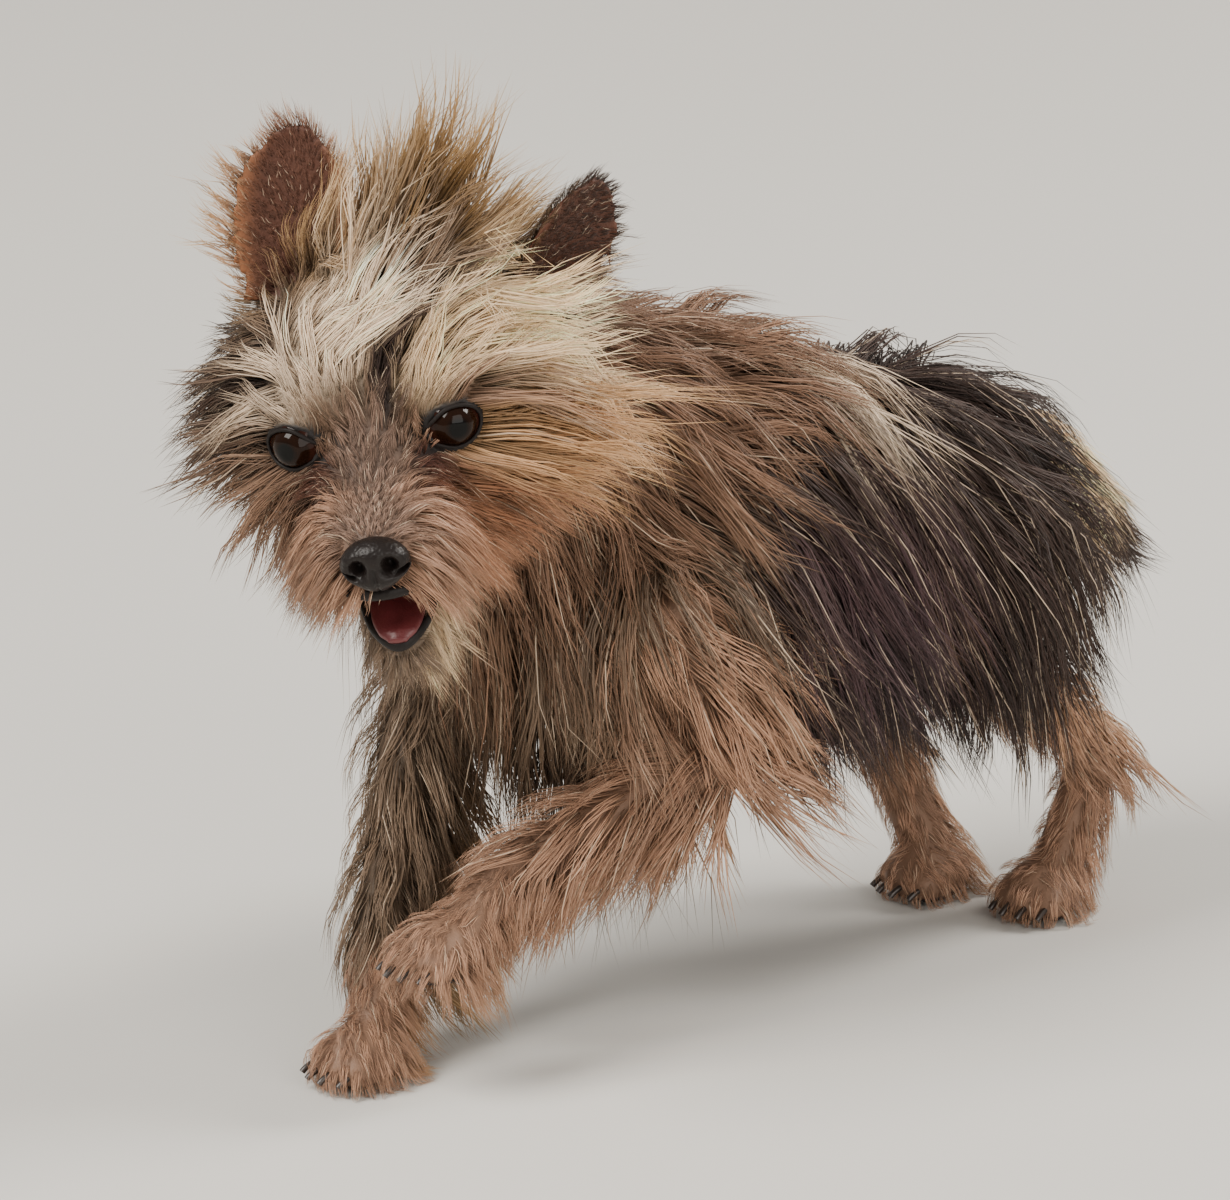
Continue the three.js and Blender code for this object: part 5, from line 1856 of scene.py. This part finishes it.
class OBJECT_OT_terrier_mouth(BuildOperator, bpy.types.Operator):
    """Builds the lips and the tongue"""

    bl_idname = "object.terrier_mouth"
    bl_label = "Mouth"

    def execute(self, context):
        lip = context.scene.terrier_face.lip / MM
        shares = np.linspace(0, 1, 60)
        shapes = []
        for line, thick in ((UPPER_LIP, lip), (LOWER_LIP, lip * 0.9)):
            points = on_head(follow(np.array(both_sides(line), float), shares, False))
            half = thick * (0.55 + 0.45 * np.sin(shares * math.pi))
            shapes.append(tube_along(points, half, HEAD[:, 2]))
        lips = new_object("lips", *join(shapes), leather_material("lip_leather", 0.9, 0.6))
        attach(lips, BODY)
        points, faces = TONGUE.shape(rings=60, sides=48)
        places = off_head(points)
        groove = np.exp(-((places[:, 1] / 2.2) ** 2)) * smoothstep(24 - places[:, 0], 0, 6)
        points = points - HEAD[:, 2] * (TONGUE_GROOVE * groove)[:, None]
        tongue = new_object("tongue_flesh", points, faces, tongue_material(context))
        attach(tongue, BODY)
        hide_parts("tongue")
        return {"FINISHED"}


def tongue_material(context):
    """Wet muscle with fine papillae about half a millimetre apart."""
    material, tree, shader = new_material("wet_tongue")
    place = add_node(tree, "ShaderNodeTexCoord")
    papillae = add_node(tree, "ShaderNodeTexVoronoi", Vector=place.outputs["Object"], Scale=1 / (0.55 * MM))
    blush = add_node(
        tree,
        "ShaderNodeTexNoise",
        Vector=place.outputs["Object"],
        Scale=1 / (5 * MM),
        Detail=3.0,
    )
    # Painted shade: the tongue's colour is a darkened red, for the shade inside the mouth.
    colour = context.scene.terrier_colours.tongue
    low = tuple(0.65 * part for part in colour[:]) + (1,)
    high = tuple(1.15 * part for part in colour[:]) + (1,)
    tint = add_node(tree, "ShaderNodeMix", {"data_type": "RGBA"}, _0=blush.outputs["Fac"], _6=low, _7=high)
    bump = add_node(
        tree,
        "ShaderNodeBump",
        Height=papillae.outputs["Distance"],
        Strength=0.35,
        Distance=0.2 * MM,
    )
    tree.links.new(tint.outputs[2], shader.inputs["Base Color"])
    tree.links.new(bump.outputs["Normal"], shader.inputs["Normal"])
    set_shader(shader, Roughness=0.4, IOR=1.4, Coat_Weight=0.25, Coat_Roughness=0.2)
    return material


# How deep a claw starts inside its toe, how far below the toe's middle, and how steeply it points down
CLAW_SUNK = 1
CLAW_LOW = 0.3
CLAW_DROOP = 0.25


def claw_tree():
    """Nodes that set a curved, tapered claw at each point, turned to the way stored there."""
    tree = bpy.data.node_groups.new("Claws", "GeometryNodeTree")
    panel = tree.interface
    panel.new_socket(name="Geometry", in_out="INPUT", socket_type="NodeSocketGeometry")
    for name, default in (("Length", 3.4 * MM), ("Radius", 0.8 * MM), ("Hook", 1.3 * MM)):
        socket = panel.new_socket(name=name, in_out="INPUT", socket_type="NodeSocketFloat")
        socket.default_value = default
        socket.subtype = "DISTANCE"
    panel.new_socket(name="Horn", in_out="INPUT", socket_type="NodeSocketMaterial")
    panel.new_socket(name="Geometry", in_out="OUTPUT", socket_type="NodeSocketGeometry")
    given = add_node(tree, "NodeGroupInput")
    half = add_node(tree, "ShaderNodeMath", {"operation": "MULTIPLY"}, _0=given.outputs["Length"], _1=0.55)
    drop = add_node(tree, "ShaderNodeMath", {"operation": "MULTIPLY"}, _0=given.outputs["Hook"], _1=-1.0)
    middle = add_node(tree, "ShaderNodeCombineXYZ", X=half.outputs[0])
    tip = add_node(tree, "ShaderNodeCombineXYZ", X=given.outputs["Length"], Z=drop.outputs[0])
    start = add_node(tree, "ShaderNodeCombineXYZ", X=-2 * MM)
    bend = add_node(
        tree,
        "GeometryNodeCurveQuadraticBezier",
        Resolution=10,
        Start=start.outputs[0],
        Middle=middle.outputs[0],
        End=tip.outputs[0],
    )
    along = add_node(tree, "GeometryNodeSplineParameter")
    taper = add_node(tree, "ShaderNodeMapRange", Value=along.outputs["Factor"], To_Min=1.0, To_Max=0.06)
    ring = add_node(tree, "GeometryNodeCurvePrimitiveCircle", Resolution=12, Radius=given.outputs["Radius"])
    sized = add_node(
        tree,
        "GeometryNodeSetCurveRadius",
        Curve=bend.outputs["Curve"],
        Radius=taper.outputs["Result"],
    )
    claw = add_node(
        tree,
        "GeometryNodeCurveToMesh",
        Curve=sized.outputs["Curve"],
        Profile_Curve=ring.outputs["Curve"],
        Fill_Caps=True,
    )
    smooth = add_node(tree, "GeometryNodeSetShadeSmooth", Geometry=claw.outputs["Mesh"])
    way = add_node(tree, "GeometryNodeInputNamedAttribute", {"data_type": "FLOAT_VECTOR"}, Name="way")
    turn = add_node(
        tree,
        "FunctionNodeAlignRotationToVector",
        {"axis": "X", "pivot_axis": "AUTO"},
        Vector=way.outputs["Attribute"],
    )
    placed = add_node(
        tree,
        "GeometryNodeInstanceOnPoints",
        Points=given.outputs["Geometry"],
        Instance=smooth.outputs["Geometry"],
        Rotation=turn.outputs["Rotation"],
    )
    real = add_node(tree, "GeometryNodeRealizeInstances", Geometry=placed.outputs["Instances"])
    finish = add_node(
        tree,
        "GeometryNodeSetMaterial",
        Geometry=real.outputs["Geometry"],
        Material=given.outputs["Horn"],
    )
    result = add_node(tree, "NodeGroupOutput")
    tree.links.new(finish.outputs["Geometry"], result.inputs["Geometry"])
    return tree


class OBJECT_OT_terrier_claws(BuildOperator, bpy.types.Operator):
    """Sets a claw on each toe"""

    bl_idname = "object.terrier_claws"
    bl_label = "Claws"

    def execute(self, context):
        roots, ways = [], []
        for name in LEGS:
            _, forward, _, toes = paw_places(name)
            for toe in toes:
                roots.append(toe + forward * (TOE_SIZE[1] / 2 - CLAW_SUNK) + (0, 0, -CLAW_LOW))
                ways.append(unit(forward + np.array([0, 0, -CLAW_DROOP])))
        mesh = bpy.data.meshes.new("claws")
        mesh.from_pydata(to_frame(roots).tolist(), [], [])
        layer = mesh.attributes.new("way", "FLOAT_VECTOR", "POINT")
        layer.data.foreach_set("vector", np.array(ways, np.float32).ravel())
        obj = bpy.data.objects.new("claws", mesh)
        context.scene.collection.objects.link(obj)
        modifier = obj.modifiers.new("Claws", "NODES")
        modifier.node_group = claw_tree()
        horn = claw_material(context.scene.terrier_colours.claw)
        for item in modifier.node_group.interface.items_tree:
            if item.name == "Horn":
                modifier[item.identifier] = horn
        whole = obj.evaluated_get(context.evaluated_depsgraph_get())
        solid = bpy.data.meshes.new_from_object(whole)
        obj.modifiers.clear()
        obj.data = solid
        if not len(solid.polygons):
            raise RuntimeError("the claws came out empty")
        if not len(solid.materials):
            solid.materials.append(horn)
        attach(obj, BODY)
        return {"FINISHED"}


# The camera looks at the animal's left shoulder from 45 degrees round and 17 degrees up
VIEW_BACK = np.array([0.676, -0.676, 0.292])
VIEW_RIGHT = np.array([0.7071, 0.7071, 0.0])
VIEW_TARGET = np.array([5.0, 110.0, 110.0])
VIEW_TARGET_PIXEL = (728, 577)
PICTURE = (1230, 1200)
PIXELS_PER_MM = 3.95
VIEW_DISTANCE = 2600.0
SENSOR = 36.0
# The stage, in metres: half the floor's side, and the height that the lights look at
FLOOR_REACH = 6.0
LIT_HEIGHT = 0.12


class OBJECT_OT_terrier_stage(BuildOperator, bpy.types.Operator):
    """Lays the pale floor and sets the soft lights and the camera"""

    bl_idname = "object.terrier_stage"
    bl_label = "Stage"

    def execute(self, context):
        settings = context.scene.terrier_stage
        self.lay_floor(settings)
        self.set_lights(settings)
        self.set_camera(context)
        return {"FINISHED"}

    def lay_floor(self, settings):
        corners = ((-1, -1, 0), (1, -1, 0), (1, 1, 0), (-1, 1, 0))
        points = np.array(corners) * FLOOR_REACH
        mesh = bpy.data.meshes.new("floor")
        mesh.from_pydata(points.tolist(), [], [(0, 1, 2, 3)])
        mesh.materials.append(floor_material(settings.floor))
        floor = bpy.data.objects.new("floor", mesh)
        bpy.context.scene.collection.objects.link(floor)

    def set_lights(self, settings):
        world = bpy.data.worlds.new("studio")
        world.use_nodes = True
        sky = world.node_tree.nodes["Background"]
        sky.inputs["Color"].default_value = (1.0, 0.97, 0.93, 1)
        sky.inputs["Strength"].default_value = settings.sky
        bpy.context.scene.world = world
        lights = [
            ("key", (-0.4, -1.9, 2.1), 1.3, settings.key),
            ("fill", (2.2, -0.6, 0.9), 1.6, settings.key * 0.3),
            ("rim", (0.9, 1.7, 1.7), 0.8, settings.rim),
        ]
        for name, place, size, power in lights:
            light = bpy.data.lights.new(name, "AREA")
            light.size = size
            light.energy = power
            light.color = (1.0, 0.96, 0.9)
            lamp = bpy.data.objects.new(name, light)
            lamp.location = place
            aim = Vector((0, 0, LIT_HEIGHT)) - Vector(place)
            lamp.rotation_euler = aim.to_track_quat("-Z", "Y").to_euler()
            bpy.context.scene.collection.objects.link(lamp)

    def set_camera(self, context):
        back = unit(VIEW_BACK)
        up = np.cross(back, VIEW_RIGHT)
        right_gap = (VIEW_TARGET_PIXEL[0] - PICTURE[0] / 2) / PIXELS_PER_MM
        up_gap = (PICTURE[1] / 2 - VIEW_TARGET_PIXEL[1]) / PIXELS_PER_MM
        middle = VIEW_TARGET - VIEW_RIGHT * right_gap - up * up_gap
        camera = bpy.data.cameras.new("camera")
        camera.sensor_width = SENSOR
        camera.lens = PIXELS_PER_MM * VIEW_DISTANCE / PICTURE[0] * SENSOR
        camera.clip_end = 50
        eye = bpy.data.objects.new("camera", camera)
        turn = Matrix([VIEW_RIGHT.tolist(), up.tolist(), back.tolist()]).transposed()
        eye.matrix_world = Matrix.Translation(Vector(to_frame(middle + back * VIEW_DISTANCE))) @ turn.to_4x4()
        context.scene.collection.objects.link(eye)
        context.scene.camera = eye


def floor_material(colour):
    """A matt painted studio floor with the faintest mottle."""
    material, tree, shader = new_material("matt_floor")
    place = add_node(tree, "ShaderNodeTexCoord")
    mottle = add_node(tree, "ShaderNodeTexNoise", Vector=place.outputs["Object"], Scale=3.0, Detail=3.0)
    low = tuple(0.96 * part for part in colour[:]) + (1,)
    high = (*colour[:], 1)
    tint = add_node(tree, "ShaderNodeMix", {"data_type": "RGBA"}, _0=mottle.outputs["Fac"], _6=low, _7=high)
    tree.links.new(tint.outputs[2], shader.inputs["Base Color"])
    set_shader(shader, Roughness=0.85)
    return material


OPERATORS = [
    OBJECT_OT_terrier_skin,
    OBJECT_OT_terrier_coat,
    OBJECT_OT_terrier_eyes,
    OBJECT_OT_terrier_nose,
    OBJECT_OT_terrier_mouth,
    OBJECT_OT_terrier_claws,
    OBJECT_OT_terrier_stage,
]


class VIEW3D_PT_terrier(bpy.types.Panel):
    """Lists the pieces and their settings"""

    bl_idname = "VIEW3D_PT_terrier"
    bl_label = "Running Terrier"
    bl_space_type = "VIEW_3D"
    bl_region_type = "UI"
    bl_category = "Terrier"

    def draw(self, context):
        for operator in OPERATORS:
            self.layout.operator(operator.bl_idname)
        for name, group in SETTINGS.items():
            settings = getattr(context.scene, name)
            box = self.layout.box()
            for key in group.__annotations__:
                box.prop(settings, key)


CLASSES = [*SETTINGS.values(), *OPERATORS, VIEW3D_PT_terrier]


def register():
    for kind in CLASSES:
        bpy.utils.register_class(kind)
    for name, group in SETTINGS.items():
        setattr(bpy.types.Scene, name, PointerProperty(type=group))


def unregister():
    for name in SETTINGS:
        delattr(bpy.types.Scene, name)
    for kind in reversed(CLASSES):
        bpy.utils.unregister_class(kind)


def main():
    register()
    for operator in OPERATORS:
        group, name = operator.bl_idname.split(".")
        getattr(getattr(bpy.ops, group), name)()


if __name__ == "__main__":
    main()
